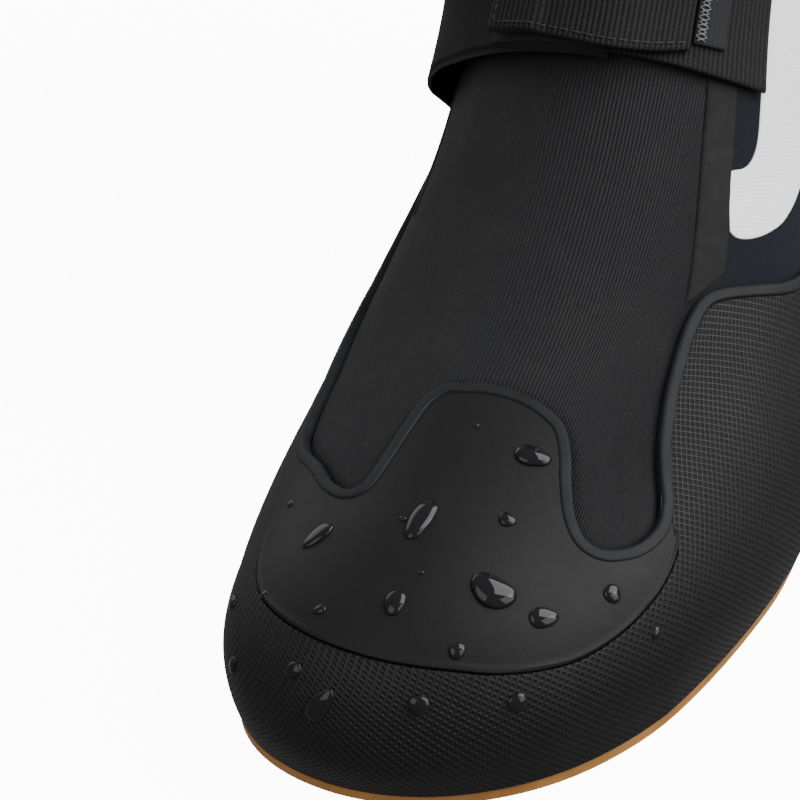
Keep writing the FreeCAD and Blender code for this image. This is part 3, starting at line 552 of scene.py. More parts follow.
def mat_strip():
    m = Mat("strip_rubber", srgb(46, 47, 50), 0.66, Specular_IOR_Level=0.14)
    uv = m.uv()
    h, rib = rib_lines(m, uv)
    v = m.obj()
    blot = m.noise(v, 110, 4, 0.7, 0.8)
    m.color(m.mixc(m.step(blot, 0.45, 0.75), srgb(40, 40, 43), srgb(58, 58, 60)))
    m.bump(h, 0.04)
    m.bump(m.noise(v, 1500, 4, 0.6), 0.06)
    m.bump(blot, 0.2)
    return m.m


def mat_knit(name="knit_neoprene", c1=(33, 36, 42), c2=(44, 48, 55)):
    m = Mat(name, srgb(38, 42, 48), 0.95, Specular_IOR_Level=0.08, Sheen_Weight=0.03, Sheen_Roughness=0.6, Sheen_Tint=(0.8, 0.87, 1, 1))
    uv = m.uv()
    x, y, _ = m.split(uv)
    a = m.math("SINE", m.math("MULTIPLY", x, 2 * math.pi / 0.9))
    b = m.math("SINE", m.math("ADD", m.math("MULTIPLY", y, 2 * math.pi / 0.7), m.math("MULTIPLY", a, 1.6)))
    knit = m.math("MULTIPLY", m.math("ADD", b, 1.0), 0.5)
    fuzz = m.noise(m.obj(), 1400, 5, 0.7)
    big = m.noise(m.obj(), 45, 3)
    h = m.math("ADD", m.math("MULTIPLY", knit, 0.35), m.math("MULTIPLY", fuzz, 0.65))
    base = m.ramp(big, [(0.3, srgb(*c1)), (0.7, srgb(*c2))])
    m.color(m.mixc(fuzz, base, srgb(*[min(255, int(k * 1.35)) for k in c2])))
    m.bump(h, 0.18)
    return m.m


def mat_white():
    m = Mat("contrast_fabric", srgb(236, 238, 242), 0.75, Specular_IOR_Level=0.25, Sheen_Weight=0.1)
    uv = m.mapping(m.uv(), rot=(0, 0, math.radians(45)))
    x, y, _ = m.split(uv)
    a = m.math("ABSOLUTE", m.math("SINE", m.math("MULTIPLY", x, math.pi / 0.75)))
    b = m.math("ABSOLUTE", m.math("SINE", m.math("MULTIPLY", y, math.pi / 0.75)))
    h = m.math("MULTIPLY", a, b)
    m.color(m.mixc(m.step(h, 0.1, 0.5), srgb(238, 240, 245), srgb(253, 253, 254)))
    m.bump(h, 0.08)
    m.bump(m.noise(m.obj(), 1600, 3), 0.02)
    return m.m


def mat_webbing(name="webbing", c=(30, 30, 32), paint_rib_shade=True):
    m = Mat(name, srgb(*c), 0.66, Specular_IOR_Level=0.18, Sheen_Weight=0.02, Sheen_Roughness=0.4)
    uv = m.uv()
    x, y, _ = m.split(uv)
    fib = m.noise(m.mapping(uv, scale=(6.0, 1.2, 1)), 1.5, 3, 0.7)
    t = m.math("SINE", m.math("MULTIPLY", y, 2 * math.pi / 0.55))
    h = m.math("ADD", m.math("MULTIPLY", fib, 0.7), m.math("MULTIPLY", m.math("ADD", t, 1.0), 0.15))
    rib_light_and_shade = m.math("ABSOLUTE", m.math("SINE", m.math("MULTIPLY", x, math.pi / RIB)))
    cc = m.ramp(fib, [(0.3, srgb(*[int(k * 0.9) for k in c])), (0.7, srgb(*[int(k * 2.3) for k in c]))])
    # the valleys between the ribs are painted at half the colour and the crowns lighter: painted shade in the valleys
    # and painted highlight on the crowns
    m.color(m.mixc(m.step(rib_light_and_shade, 0.35, 0.95), srgb(*[int(k * 0.5) for k in c]), cc) if paint_rib_shade else cc)
    m.bump(h, 0.14)
    m.bump(m.noise(m.obj(), 2500, 3, 0.6), 0.03)
    return m.m


def mat_smooth_strap():
    m = Mat("strap_neoprene", srgb(36, 36, 38), 0.75, Specular_IOR_Level=0.14, Sheen_Weight=0.02, Sheen_Roughness=0.4)
    v = m.obj()
    m.color(m.ramp(m.noise(v, 500, 5, 0.7), [(0.25, srgb(33, 33, 35)), (0.75, srgb(46, 46, 49))]))
    m.bump(m.noise(v, 1900, 4, 0.7), 0.05)
    return m.m


def mat_gum():
    m = Mat("gum_rubber", srgb(158, 108, 52), 0.55, Specular_IOR_Level=0.4, Subsurface_Weight=0.0)
    v = m.obj()
    m.color(m.ramp(m.noise(v, 90, 4, 0.6), [(0.3, srgb(146, 98, 45)), (0.7, srgb(170, 120, 62))]))
    m.rough(m.noise(v, 300, 3), 0.5, 0.68)
    m.bump(m.noise(v, 1400, 4, 0.6), 0.05)
    return m.m


def mat_plain(name, c, rough, scale=900, bump=0.05, var=0.15, **k):
    m = Mat(name, srgb(*c), rough, **k)
    v = m.obj()
    m.color(m.ramp(m.noise(v, scale * 0.15, 4, 0.6), [(0.3, srgb(*[x * (1 - var) for x in c])), (0.7, srgb(*[min(255, x * (1 + var)) for x in c]))]))
    m.bump(m.noise(v, scale, 4, 0.6), bump)
    return m.m


RIB = 0.97
M_CAP, M_BEAD, M_WAFFLE, M_VAMP, M_STRIP = mat_cap(), mat_bead(), mat_waffle(), mat_vamp(), mat_strip()
M_KNIT, M_WHITE, M_WEB, M_STRAP, M_GUM = mat_knit(), mat_white(), mat_webbing(), mat_smooth_strap(), mat_gum()
M_BACK = M_VAMP
M_PATCH = mat_webbing("patch_fabric", (34, 34, 36), paint_rib_shade=False)
M_BIND = mat_knit("binding", (27, 28, 30), (38, 39, 42))
M_FOAM = mat_plain("foam", (36, 36, 38), 0.9)
M_SOLE_PANEL = mat_plain("neoprene", (30, 31, 33), 0.9)
M_INSOLE = mat_knit("insole_foam", (45, 48, 53), (60, 64, 70))
M_STIFF = mat_plain("stiffener", (150, 150, 148), 0.7)
M_LOOP = mat_plain("loop_tape", (14, 14, 15), 0.95, 2600, 0.25, 0.3)
M_HOOK = mat_plain("hook_tape", (24, 24, 26), 0.5, 1200, 0.1)
M_THREAD = mat_plain("thread", (100, 101, 103), 0.6, 2500, 0.04)
M_THREAD_DARK = mat_plain("thread_dark", (62, 62, 65), 0.6, 2500, 0.04)

BUILT = []


def use(ob, body, slot, *nodes):
    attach(ob, body)
    if nodes:
        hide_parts(*nodes)
    BUILT.append(ob)
    return ob


# ------------------------------------------------------------------ sock panels
def sock_offset(v, d, base=SOCK_OUT):
    """Outer face of the neoprene: a little cushioned next to the bead, with a groove beside it."""
    e = edge_distance(v, d) - BEAD_W / 2
    o = np.full(np.shape(v), base)
    puff = 1.05 * (1 - np.exp(-np.clip(e + 0.1, 0, None) / 1.1)) * np.exp(-np.clip(e, 0, None) / 14.0)
    return np.where(e > -0.1, o + puff, o)


def rows_v(parts):
    return np.unique(np.concatenate([np.linspace(a, b, n) for a, b, n in parts]))


def panel(name, vs, left, right, nf, mat, slot, node, o_in, o_out, dref=0.0, floor=None):
    a = np.linspace(0, 1, nf + 1)
    L, R = np.array([left(v) for v in vs]), np.array([right(v) for v in vs])
    v = np.repeat(vs[:, None], nf + 1, 1)
    d = L[:, None] + (R - L)[:, None] * a[None]
    oo = o_out(v, d) if callable(o_out) else np.full(v.shape, o_out)
    oi = o_in(v, d) if callable(o_in) else np.full(v.shape, o_in)
    A, B = skin(v, d, oo), skin(v, d, oi)
    if floor is not None:
        A[0, :, 2] = floor
        B[0, :, 2] = floor
    ob = slab(name, A, B, uv_of(v, d, dref), mat)
    return use(ob, "boot", slot, node)


G = 0.0
VS = rows_v([(0.3, 3.2, 8), (3.2, 8.6, 150), (8.6, 12.98, 60)])
panel("vamp", VS, lambda v: seam(SEAM_MED, v) + G, lambda v: seam(SEAM_LAT, v) - G, 150, M_VAMP, "vamp_neoprene", "vamp_panel", SOCK_IN, sock_offset, floor=6.06)
VS2 = rows_v([(0.3, 3.2, 8), (3.2, 6.6, 80), (6.6, 12.98, 80)])
panel("side_lateral", VS2, lambda v: seam(SEAM_LAT, v) + G, lambda v: BACK_SEAM - G, 90, M_KNIT, "knit_neoprene", "side_panel_lateral", SOCK_IN, sock_offset, 90, floor=6.06)
panel("side_medial", VS2, lambda v: -BACK_SEAM + G, lambda v: seam(SEAM_MED, v) - G, 70, M_KNIT, "knit_neoprene", "side_panel_medial", SOCK_IN, sock_offset, -90, floor=6.06)
panel("back", VS2, lambda v: BACK_SEAM + G, lambda v: 360 - BACK_SEAM - G, 50, M_BACK, "vamp_neoprene", "back_panel", SOCK_IN, sock_offset, 180, floor=6.06)

# ------------------------------------------------------------------ rubber
def offset_curve(pts, dist):
    P = lastp(pts[:, 0], pts[:, 1])
    t = unit(np.gradient(P, axis=0))
    side = np.cross(t, normal(pts[:, 0], pts[:, 1]))
    v, d = shift(pts[:, 0], pts[:, 1], side, dist)
    return np.stack([v, d], 1)


med = resample(catmull(EDGE_MEDIAL + EDGE_CAP[:1], 200), 160)
latc = resample(catmull(EDGE_CAP[-1:] + EDGE_LATERAL, 400), 260)
capu = resample(catmull(EDGE_CAP, 500), 200)
capl = resample(catmull(CAP_LOW, 400), 200)
med_o, lat_o, capu_o = offset_curve(med, 1.0), offset_curve(latc, 1.0), offset_curve(capu, 0.9)
front_o = offset_curve(capl, 0.05)
upper = np.array([p for p in med_o if p[1] < -53.2] + [p for p in front_o if -52.4 < p[1] < 44.9] + [p for p in lat_o if p[1] > 45.2 or p[0] > 4.0])
upper = resample(upper, 644)[2:-2]
lowd = upper[:, 1].copy()
for _ in range(900):
    lowd[1:-1] = (lowd[:-2] + lowd[1:-1] + lowd[2:]) / 3
nt = 40
t, hr = rounded(40.0, 0.7, nt, 4, lo=True, hi=True)
v = -0.2 + (upper[:, 0] + 0.2)[:, None] * t[None]
d = lowd[:, None] + (upper[:, 1] - lowd)[:, None] * t[None]
o_r = RUB_IN + (RUB_OUT + 0.05 - RUB_IN) * np.where(t > 0.5, 0.75 + 0.25 * hr, hr)[None] * np.ones_like(v)
A, B = skin(v, d, o_r), skin(v, d, np.full(v.shape, RUB_IN))
A[:, 0, 2] = B[:, 0, 2] = 2.6
RAND = slab("rand", A, B, strip_uv(v, d, 46.0), M_WAFFLE)
use(RAND, "boot", "waffle_rubber", "rand")

# toe cap: a moulded sheet with a fine ridge along its lower edge
nt = 60
v0, v1 = capl[1:-1], capu_o[1:-1]
t, hr = rounded(45.0, 0.5, nt, 4, lo=True, hi=False)
v = v0[:, :1] + (v1 - v0)[:, :1] * t[None]
d = v0[:, 1:] + (v1 - v0)[:, 1:] * t[None]
Pm = lastp(v, d)
run = np.concatenate([np.zeros((len(v), 1)), np.cumsum(np.linalg.norm(np.diff(Pm, axis=1), axis=2), axis=1)], 1)
ridge = 0.28 * np.exp(-((run - 0.75) / 0.45) ** 2)
fall = np.clip(run / 0.35, 0, 1)
o_c = RUB_IN + (RUB_OUT + 0.12 - RUB_IN) * np.sqrt(1 - (1 - fall) ** 2) + ridge * fall
A, B = skin(v, d, o_c), skin(v, d, np.full(v.shape, RUB_IN))
CAP = slab("toe_cap", A, B, uv_of(v, d), M_CAP)
use(CAP, "boot", "smooth_rubber", "toe_cap")
cv, cf = np.meshgrid(np.linspace(3.42, 4.3, 30), np.linspace(0, 1, 20), indexing="ij")
cd = lin([(3.42, 41.5), (3.9, 42.6), (4.3, 43.2)], cv) + cf * (lin([(3.42, 46.3), (3.8, 46.6), (4.3, 45.4)], cv) - lin([(3.42, 41.5), (3.9, 42.6), (4.3, 43.2)], cv))
use(slab("toe_cap_corner", skin(cv, cd, np.full(cv.shape, RUB_OUT - 0.12)), skin(cv, cd, np.full(cv.shape, RUB_IN)), uv_of(cv, cd), M_CAP), "boot", "smooth_rubber", "toe_cap")

# bead
P = lastp(EDGE[:, 0], EDGE[:, 1])
E2 = resample(EDGE, 1100)
P = lastp(E2[:, 0], E2[:, 1])
N = normal(E2[:, 0], E2[:, 1])
T = unit(np.gradient(P, axis=0))
S = unit(np.cross(T, N))              # towards the sole
prof = [(-1.0, -0.24), (-1.03, 0.7), (-1.0, 1.25), (-0.94, 1.58), (-0.82, 1.82), (-0.62, 1.95), (-0.3, 2.0), (0.0, 1.98), (0.35, 1.98),
        (0.66, 1.98), (0.84, 1.9), (0.95, 1.72), (1.0, 1.45), (1.0, -0.24)]
W = BEAD_W / 2
ring = np.stack([P + S * (a * W) + N * h for a, h in prof], 1) + np.array([OX, OY, 0])
n, k = ring.shape[:2]
idx = np.arange(n * k).reshape(n, k)
F = []
for j in range(k):
    j2 = (j + 1) % k
    F.append(np.stack([idx[:-1, j], idx[1:, j], idx[1:, j2], idx[:-1, j2]], 1))
faces = np.concatenate(F).tolist() + [idx[0].tolist(), idx[-1].tolist()]
BEAD = mesh_object("bead", ring.reshape(-1, 3), faces, None, M_BEAD, sharp=60)
use(BEAD, "boot", "bead_rubber", "bead_trim")

# heel patch
vs = rows_v([(-0.15, 3.95, 60)])
aa = np.linspace(-1, 1, 41)
v = np.repeat(vs[:, None], 41, 1)
d = 180 + aa[None] * (13.5 - 0.9 * v)
edge = np.minimum(np.minimum((1 - np.abs(aa))[None] * (13.5 - 0.9 * v) * 0.7, (3.95 - v) * 9.0), 50)
o = RUB_OUT + 0.02 + 0.95 * np.clip(edge / 1.0, 0, 1) ** 0.5
A, B = skin(v, d, o), skin(v, d, np.full(v.shape, RUB_OUT + 0.0))
A[0, :, 2] = B[0, :, 2] = 2.6
use(slab("heel_patch", A, B, uv_of(v, d, 180), M_CAP), "boot", "smooth_rubber", "heel_patch")


# ------------------------------------------------------------------ strips, tape and band on the sock
def strip(name, v0, v1, nv, left, right, nf, o_out, mat, slot, node, r=0.35, dref=0.0):
    vs = np.linspace(v0, v1, nv)
    L, R = np.array([left(x) for x in vs]), np.array([right(x) for x in vs])
    t, h = rounded(7.0, r, nf, 3)
    v = np.repeat(vs[:, None], len(t), 1)
    d = L[:, None] + (R - L)[:, None] * t[None]
    base = sock_offset(v, d) + 0.04
    o = base + o_out * h[None]
    use(slab(name, skin(v, d, o), skin(v, d, base), uv_of(v, d, dref), mat), "boot", slot, node)


STRIP_W = [(5.9, 9.5), (6.4, 9.3), (7.1, 9.6), (7.84, 9.2), (9, 8.6), (13, 8.2)]
strip("vamp_strip_lat", 6.12, VB + 0.03, 260, lambda x: seam(SEAM_LAT, x) - seam(STRIP_W, x), lambda x: seam(SEAM_LAT, x) + 0.3, 14, 0.34, M_STRIP, "strip_rubber", "vamp_strip_lateral", 0.9)
strip("vamp_strip_med", 4.72, VB + 0.03, 260, lambda x: seam(SEAM_MED, x) - 0.3, lambda x: seam(SEAM_MED, x) + seam(STRIP_W, x), 14, 0.34, M_STRIP, "strip_rubber", "vamp_strip_medial", 0.9)
strip("back_tape", 4.42, VB + 0.03, 260, lambda x: 170.5, lambda x: 189.5, 16, 0.45, M_STRIP, "strip_rubber", "back_seam_tape", 0.5, 180)

BAND_OUTER = [(6.52, 48.2), (6.38, 51.0), (6.2, 56), (6.02, 62), (5.92, 67), (6.0, 71.5), (6.35, 74.5), (6.9, 75.5), (7.6, 75),
              (8.6, 73), (9.6, 71), (10.6, 69), (11.6, 68), (12.83, 67.5)]
BAND_INNER = [(7.12, 44.0), (7.07, 46.5), (7.02, 49.2), (7.02, 51.2), (7.1, 52.4), (7.25, 52.2), (7.5, 51.0), (7.75, 49.9), (8.05, 49.2),
              (8.6, 48.2), (9.4, 47.0), (10.4, 46.2), (11.5, 46.0), (12.83, 46.0)]
bo = resample(catmull(BAND_OUTER, 400), 300)
bi = catmull(BAND_INNER, 300)
t, h = rounded(14.0, 0.3, 26, 3)
v = bo[:, :1] + (bi - bo)[:, :1] * t[None]
d = bo[:, 1:] + (bi - bo)[:, 1:] * t[None]
base = sock_offset(v, d) + 0.03
use(slab("contrast_band", skin(v, d, base + 0.3 * h[None]), skin(v, d, base), uv_of(v, d, 60), M_WHITE), "boot", "contrast_fabric", "contrast_band")


# collar binding, a soft folded tape
def ring_section(name, prof, nd, mat, slot, node):
    dd = np.linspace(0, 360, nd + 1)[:-1]
    V, D = np.meshgrid([p[0] for p in prof], dd)
    O = np.repeat(np.array([[p[1] for p in prof]]), nd, 0)
    Pn = skin(V, D, O)
    n, k = Pn.shape[:2]
    idx = np.arange(n * k).reshape(n, k)
    F = []
    for j in range(k):
        j2 = (j + 1) % k
        F.append(np.stack([idx[:, j], np.roll(idx[:, j], -1), np.roll(idx[:, j2], -1), idx[:, j2]], 1))
    U = uv_of(V, D, 0).reshape(-1, 2)
    return use(mesh_object(name, Pn.reshape(-1, 3), np.concatenate(F), U, mat, sharp=50), "boot", slot, node)


def vmm(z):                            # v at a height near the collar
    return 13 + (z - 236.0) / 46.0


outer = [(vmm(226.9), -0.3), (vmm(226.9), 0.45), (vmm(227.3), 0.75), (vmm(228.3), 0.85), (vmm(229.6), 0.7), (vmm(231), 0.95), (vmm(234), 1.0), (vmm(236), 0.85),
         (vmm(237.1), 0.2), (vmm(237.7), -0.9), (vmm(237.95), -2.3), (vmm(237.7), -3.8), (vmm(237.1), -4.9), (vmm(236), -5.5), (vmm(234), -5.6), (vmm(231), -5.5),
         (vmm(229.6), -5.35), (vmm(228.3), -5.5), (vmm(227.3), -5.4), (vmm(226.9), -5.1), (vmm(226.9), -4.4), (vmm(235.6), -4.4), (vmm(235.6), -0.3)]
ring_section("collar_binding", outer, 360, M_BIND, "binding", "collar_binding")


# ------------------------------------------------------------------ strap
SQ = math.sqrt(0.5)
QM = Q0 + STRAP_W / 2


def solve_v(q, d):
    q, d = np.broadcast_arrays(np.asarray(q, float), np.asarray(d, float))
    a, b = np.full(q.shape, 4.0), np.full(q.shape, 12.5)
    for _ in range(26):
        m = (a + b) / 2
        p = lastp(m, d)
        lo = (p[..., 1] + p[..., 2]) * SQ < q
        a, b = np.where(lo, m, a), np.where(lo, b, m)
    return (a + b) / 2


_dg = np.linspace(-130, 130, 521)
_mid = lastp(solve_v(QM, _dg), _dg)
_sl = np.concatenate([[0], np.cumsum(np.linalg.norm(np.diff(_mid, axis=0), axis=1))])
_sl -= _sl[260]
_tan = unit(np.gradient(_mid, axis=0))


def strap_vd(s, w):
    s, w = np.broadcast_arrays(np.asarray(s, float), np.asarray(w, float))
    d0 = np.interp(s, _sl, _dg)
    M = np.stack([np.interp(s, _sl, _mid[:, k]) for k in range(3)], -1)
    Tn = unit(np.stack([np.interp(s, _sl, _tan[:, k]) for k in range(3)], -1))
    q = Q0 + w
    lo, hi = d0 - 32, d0 + 32
    for _ in range(20):
        m = (lo + hi) / 2
        p = lastp(solve_v(q, m), m)
        c = ((p - M) * Tn).sum(-1) < 0
        lo, hi = np.where(c, m, lo), np.where(c, hi, m)
    d = (lo + hi) / 2
    return solve_v(q, d), d


_tab_s = np.linspace(-84, 60, 73)
_tab_w = np.linspace(-3, 45, 25)
_TS, _TW = np.meshgrid(_tab_s, _tab_w, indexing="ij")
_TV, _TD = strap_vd(_TS, _TW)


def strap_pt(s, w, o):
    s, w, o = np.broadcast_arrays(np.asarray(s, float), np.asarray(w, float), np.asarray(o, float))
    i = np.clip((s - _tab_s[0]) / (_tab_s[1] - _tab_s[0]), 0, len(_tab_s) - 1.001)
    j = np.clip((w - _tab_w[0]) / (_tab_w[1] - _tab_w[0]), 0, len(_tab_w) - 1.001)
    i0, j0 = i.astype(int), j.astype(int)
    fi, fj = i - i0, j - j0

    def bil(A):
        return A[i0, j0] * (1 - fi) * (1 - fj) + A[i0 + 1, j0] * fi * (1 - fj) + A[i0, j0 + 1] * (1 - fi) * fj + A[i0 + 1, j0 + 1] * fi * fj
    vv, dd = bil(_TV), bil(_TD)
    return lastp(vv, dd) + normal(vv, dd) * o[..., None] + np.array([OX, OY, 0.0])


S_FREE, S_BASE0, S_MED1, S_ROOT, S_BASE1, S_MED0 = -20.8, -1.9, 2.3, 17.4, 34.2, -76.8


def ramp(s, a, b, x, y):
    t = np.clip((s - a) / (b - a), 0, 1)
    t = t * t * (3 - 2 * t)
    return x + (y - x) * t


RIB = 0.97


def ribs(s, w, amp=0.13):
    """Cross ribs of the webbing: rounded cords side by side, fading into the woven selvage."""
    sel = np.clip(np.minimum(w, STRAP_W - w) / 0.8, 0, 1)
    return amp * (np.abs(np.sin(np.pi * s / RIB)) ** 0.7 - 0.4) * (0.35 + 0.65 * sel)


def med_in(s):
    return np.where(s < -52, ramp(s, S_MED0, -55.0, -0.25, 5.2), ramp(s, -50.0, -24.0, 5.2, 1.94))


def med_low(s):
    return -1.6 - ramp(-s, 38.0, 62.0, 0.0, 3.0)


def base_low(s):
    return -ramp(s, 4.0, 32.0, 0.0, 1.25)


def band(name, s0, s1, ds, f_in, f_out, w0, w1, nw, mat, slot, node, body="boot", rib=0.0, r=0.5, hem=0.0):
    s = np.arange(s0, s1 + 1e-6, (s1 - s0) / max(2, int(round((s1 - s0) / ds))))
    t, h = rounded(STRAP_W, r, nw, 4)
    Sg = np.repeat(s[:, None], len(t), 1)
    a, b = (w0(s) if callable(w0) else np.full(s.shape, w0)), (w1(s) if callable(w1) else np.full(s.shape, w1))
    Wg = a[:, None] + (b - a)[:, None] * t[None]
    oi, oo = f_in(Sg), f_out(Sg)
    mid = (oi + oo) / 2
    ends = np.clip(np.minimum(Sg - s0, s1 - Sg) / r, 0, 1)
    e = np.sqrt(1 - (1 - ends) ** 2) * h[None]
    e = np.clip(e, 0.05, 1)
    wl = Wg - a[:, None]
    top = mid + (oo - mid) * e + (ribs(Sg, wl, rib) * e if rib else 0)
    bot = mid - (mid - oi) * e
    if hem:                            # a thinner under layer shows beyond the upper one
        x = np.clip((wl - hem) / 0.35, 0, 1)
        top = top - 0.6 * (1 - np.sqrt(np.clip(1 - (1 - x) ** 2, 0, 1))) * e
    A, B = strap_pt(Sg, Wg, top), strap_pt(Sg, Wg, bot)
    ob = slab(name, A, B, np.stack([Sg, wl], -1), mat, sharp=0)
    return use(ob, body, slot, node)


band("strap_base", S_BASE0, S_BASE1, 0.16, lambda s: np.full(s.shape, 0.56), lambda s: np.full(s.shape, 1.82), base_low, STRAP_W, 60, M_WEB, "webbing", "strap_base", rib=0.2)
band("strap_medial", S_MED0, S_MED1, 0.6, med_in, lambda s: med_in(s) + 1.1, med_low, STRAP_W, 130, M_STRAP, "strap_neoprene", "strap_medial", rib=0, r=0.25, hem=1.5)
band("strap_loop_tape", S_FREE - 1, S_MED1 - 0.4, 0.5, lambda s: np.full(s.shape, 3.08), lambda s: np.full(s.shape, 3.7), 0.2, STRAP_W - 1.5, 50, M_LOOP, "loop_tape", "strap_loop_tape", r=0.3)
band("strap_patch", S_ROOT + 0.5, S_ROOT + 7.0, 0.16, lambda s: np.full(s.shape, 1.9), lambda s: np.full(s.shape, 2.9), 4.6, STRAP_W + 0.8, 60, M_PATCH, "webbing", "strap_patch", rib=0.10)


def flap_in(s):
    return ramp(s, S_MED1 - 1, S_ROOT, 4.6, 2.25)


FLAP_LOW = [(-20.8, 1.85), (-17.6, 1.55), (-14.4, 1.4), (-11.3, 1.2), (-8.1, 0.85), (-4.9, 0.35), (-1.7, -0.15), (1.5, -0.45),
            (4.6, -0.4), (7.8, 0.1), (11.0, 0.85), (14.2, 1.75), (17.4, 2.9)]


def flap_w(s):
    return sum(lin(FLAP_LOW, s + k) for k in (-2.0, -1.0, 0.0, 1.0, 2.0)) / 5


def flap_out(s):
    return flap_in(s) + ramp(s, S_FREE + 9, S_FREE + 12, 2.3, 1.2)


FLAP = band("strap_flap", S_FREE, S_ROOT, 0.16, flap_in, flap_out, flap_w, lambda s: flap_w(s) + STRAP_W, 64, M_WEB, "webbing", "strap_flap", "flap", rib=0.26)
band("hook_tape", S_FREE + 2, S_MED1 - 2, 0.6, lambda s: np.full(s.shape, 4.02), lambda s: np.full(s.shape, 4.56), lambda s: flap_w(s) + 1.5, lambda s: flap_w(s) + STRAP_W - 1.5, 40,
     M_HOOK, "hook_tape", "hook_tape", "flap", r=0.25)


# ------------------------------------------------------------------ threads
def tube(points, r, sides=8, flat=1.0):
    """Verts and faces of one closed thread through points (n, 3), mm."""
    n = len(points)
    T = unit(np.gradient(points, axis=0))
    ref = np.array([0.13, 0.21, 0.97])
    A = unit(np.cross(T, ref))
    B = np.cross(T, A)
    ang = np.linspace(0, 2 * np.pi, sides, endpoint=False)
    R = points[:, None] + r * (np.cos(ang)[None, :, None] * A[:, None] + np.sin(ang)[None, :, None] * B[:, None])
    idx = np.arange(n * sides).reshape(n, sides)
    F = []
    for j in range(sides):
        j2 = (j + 1) % sides
        F.append(np.stack([idx[:-1, j], idx[1:, j], idx[1:, j2], idx[:-1, j2]], 1))
    return R.reshape(-1, 3), np.concatenate(F).tolist() + [idx[0].tolist(), idx[-1].tolist()]


def join_tubes(name, lines, r, mat, body, slot, *nodes, sides=8):
    V, F, k = [], [], 0
    for ln in lines:
        a, f = tube(ln, r, sides)
        V.append(a)
        F += [[i + k for i in q] for q in f]
        k += len(a)
    return use(mesh_object(name, np.concatenate(V), F, None, mat, sharp=0), body, slot, *nodes)


def stitch(path, pitch, length, rise):
    """Returns an empty list; no stitches are built. path is not used."""
    out = []
    return out


nz = 30
zig = []
for lane in (0.0, 0.3):
    k = np.linspace(0, nz, nz * 8 + 1)
    tri = np.abs(((k + lane * 0) % 2) - 1)
    tri = tri * tri * (3 - 2 * tri)
    w = 5.2 + (STRAP_W - 6.4) * k / nz
    zig.append(strap_pt(S_ROOT + 0.85 + lane + 1.7 * (1 - tri if lane else tri), w, 3.0 + 0.16 * np.abs(np.sin(np.pi * k))))
join_tubes("strap_zigzag_thread", zig, 0.15, M_THREAD, "boot", "thread", "strap_zigzag_thread")


def dashes(s_of, w_of, o_of, total, pitch, gap, n=7):
    lines = []
    m = int(total / pitch)
    for i in range(m):
        a, b = i * pitch + gap / 2, (i + 1) * pitch - gap / 2
        x = np.linspace(a, b, n)
        h = np.sin(np.linspace(0, np.pi, n))
        lines.append(strap_pt(s_of(x), w_of(x), o_of(x) + 0.16 * h - 0.04))
    return lines


fl = []
tot = S_ROOT - S_FREE - 2.5
for ww in (1.7, STRAP_W - 1.7):
    fl += dashes(lambda x: S_FREE + 1.5 + x, lambda x, ww=ww: flap_w(S_FREE + 1.5 + x) + ww, lambda x: flap_out(S_FREE + 1.5 + x) + 0.1, tot, 2.1, 0.5)
for ss in (1.6,):
    fl += dashes(lambda x, ss=ss: np.full(np.shape(x), S_FREE + ss), lambda x: flap_w(S_FREE + 1.5) + 1.7 + x, lambda x, ss=ss: np.full(np.shape(x), flap_out(S_FREE + ss) + 0.1), STRAP_W - 3.4, 2.1, 0.5)
join_tubes("flap_edge_thread", fl, 0.15, M_THREAD_DARK, "flap", "thread", "flap_edge_thread", sides=6)

# ------------------------------------------------------------------ pull loop
VH = 12.46
vs = np.linspace(VH + 0.05, VB - 0.02, 40)
aa, h = rounded(14.0, 0.5, 30, 4)
v = np.repeat(vs[:, None], len(aa), 1)
d = 169.5 + 21 * aa[None] + 0 * v
e = np.clip(np.minimum(v - vs[0], vs[-1] - v) * 46 / 0.5, 0, 1)
e = np.clip(np.sqrt(1 - (1 - e) ** 2) * h[None], 0.05, 1)
uvx = uv_of(v, d, 180)
rb = 0.12 * (np.abs(np.sin(np.pi * uvx[..., 1] / RIB)) ** 0.7 - 0.4)
use(slab("pull_loop_anchor", skin(v, d, 0.36 + (1.1 + rb) * e), skin(v, d, np.full(v.shape, 0.2)), uvx[..., ::-1], M_WEB, sharp=0), "boot", "webbing", "pull_loop_anchor")

PULL_W = 16.0
hp = lastp(VH, 180.0) + normal(VH, 180.0) * 1.2
prof = []
zs = (0.0, -2.0, -5.0, -9.0, -15.0, -22.0, -27.0, -30.0)
gp = (0.5, 1.2, 2.6, 3.8, 4.2, 4.2, 3.6, 2.2)
uo = (2.2, 2.4, 2.9, 3.3, 3.4, 3.4, 3.2, 3.0)
inner, outer_ = [], []
for z, g, u in zip(zs, gp, uo):
    p = lastp(VH + z / 46.0, 180.0) + normal(VH + z / 46.0, 180.0) * 2.75
    inner.append((p[1] + u - g - 0.6, p[2]))
    outer_.append((p[1] + u + g + 0.6, p[2]))
p = lastp(VH - 32.5 / 46.0, 180.0) + normal(VH - 32.5 / 46.0, 180.0) * 2.75
mid = [(hp[1] + 1.4, hp[2] + 1.0)] + outer_ + [(p[1] + 3.1, p[2] - 0.6)] + inner[::-1]
mid = np.array(mid + mid[:3])
c = catmull(mid, 40 * (len(mid) - 1))[40:-80]
L = np.concatenate([[0], np.cumsum(np.linalg.norm(np.diff(c, axis=0), axis=1))])
s = np.linspace(0, L[-1], int(L[-1] / 0.16))[:-1]
c = np.stack([np.interp(s, L, c[:, k]) for k in range(2)], 1)
tn = unit(np.roll(c, -1, 0) - np.roll(c, 1, 0))
nn = np.stack([-tn[:, 1], tn[:, 0]], 1)
cm = c.mean(0)
nn = nn * np.sign(((c - cm) * nn).sum(1).mean())
t, h = rounded(PULL_W, 0.45, 24, 4)
X = (t - 0.5) * PULL_W
rb = 0.12 * (np.abs(np.sin(np.pi * s / RIB)) ** 0.7 - 0.4)


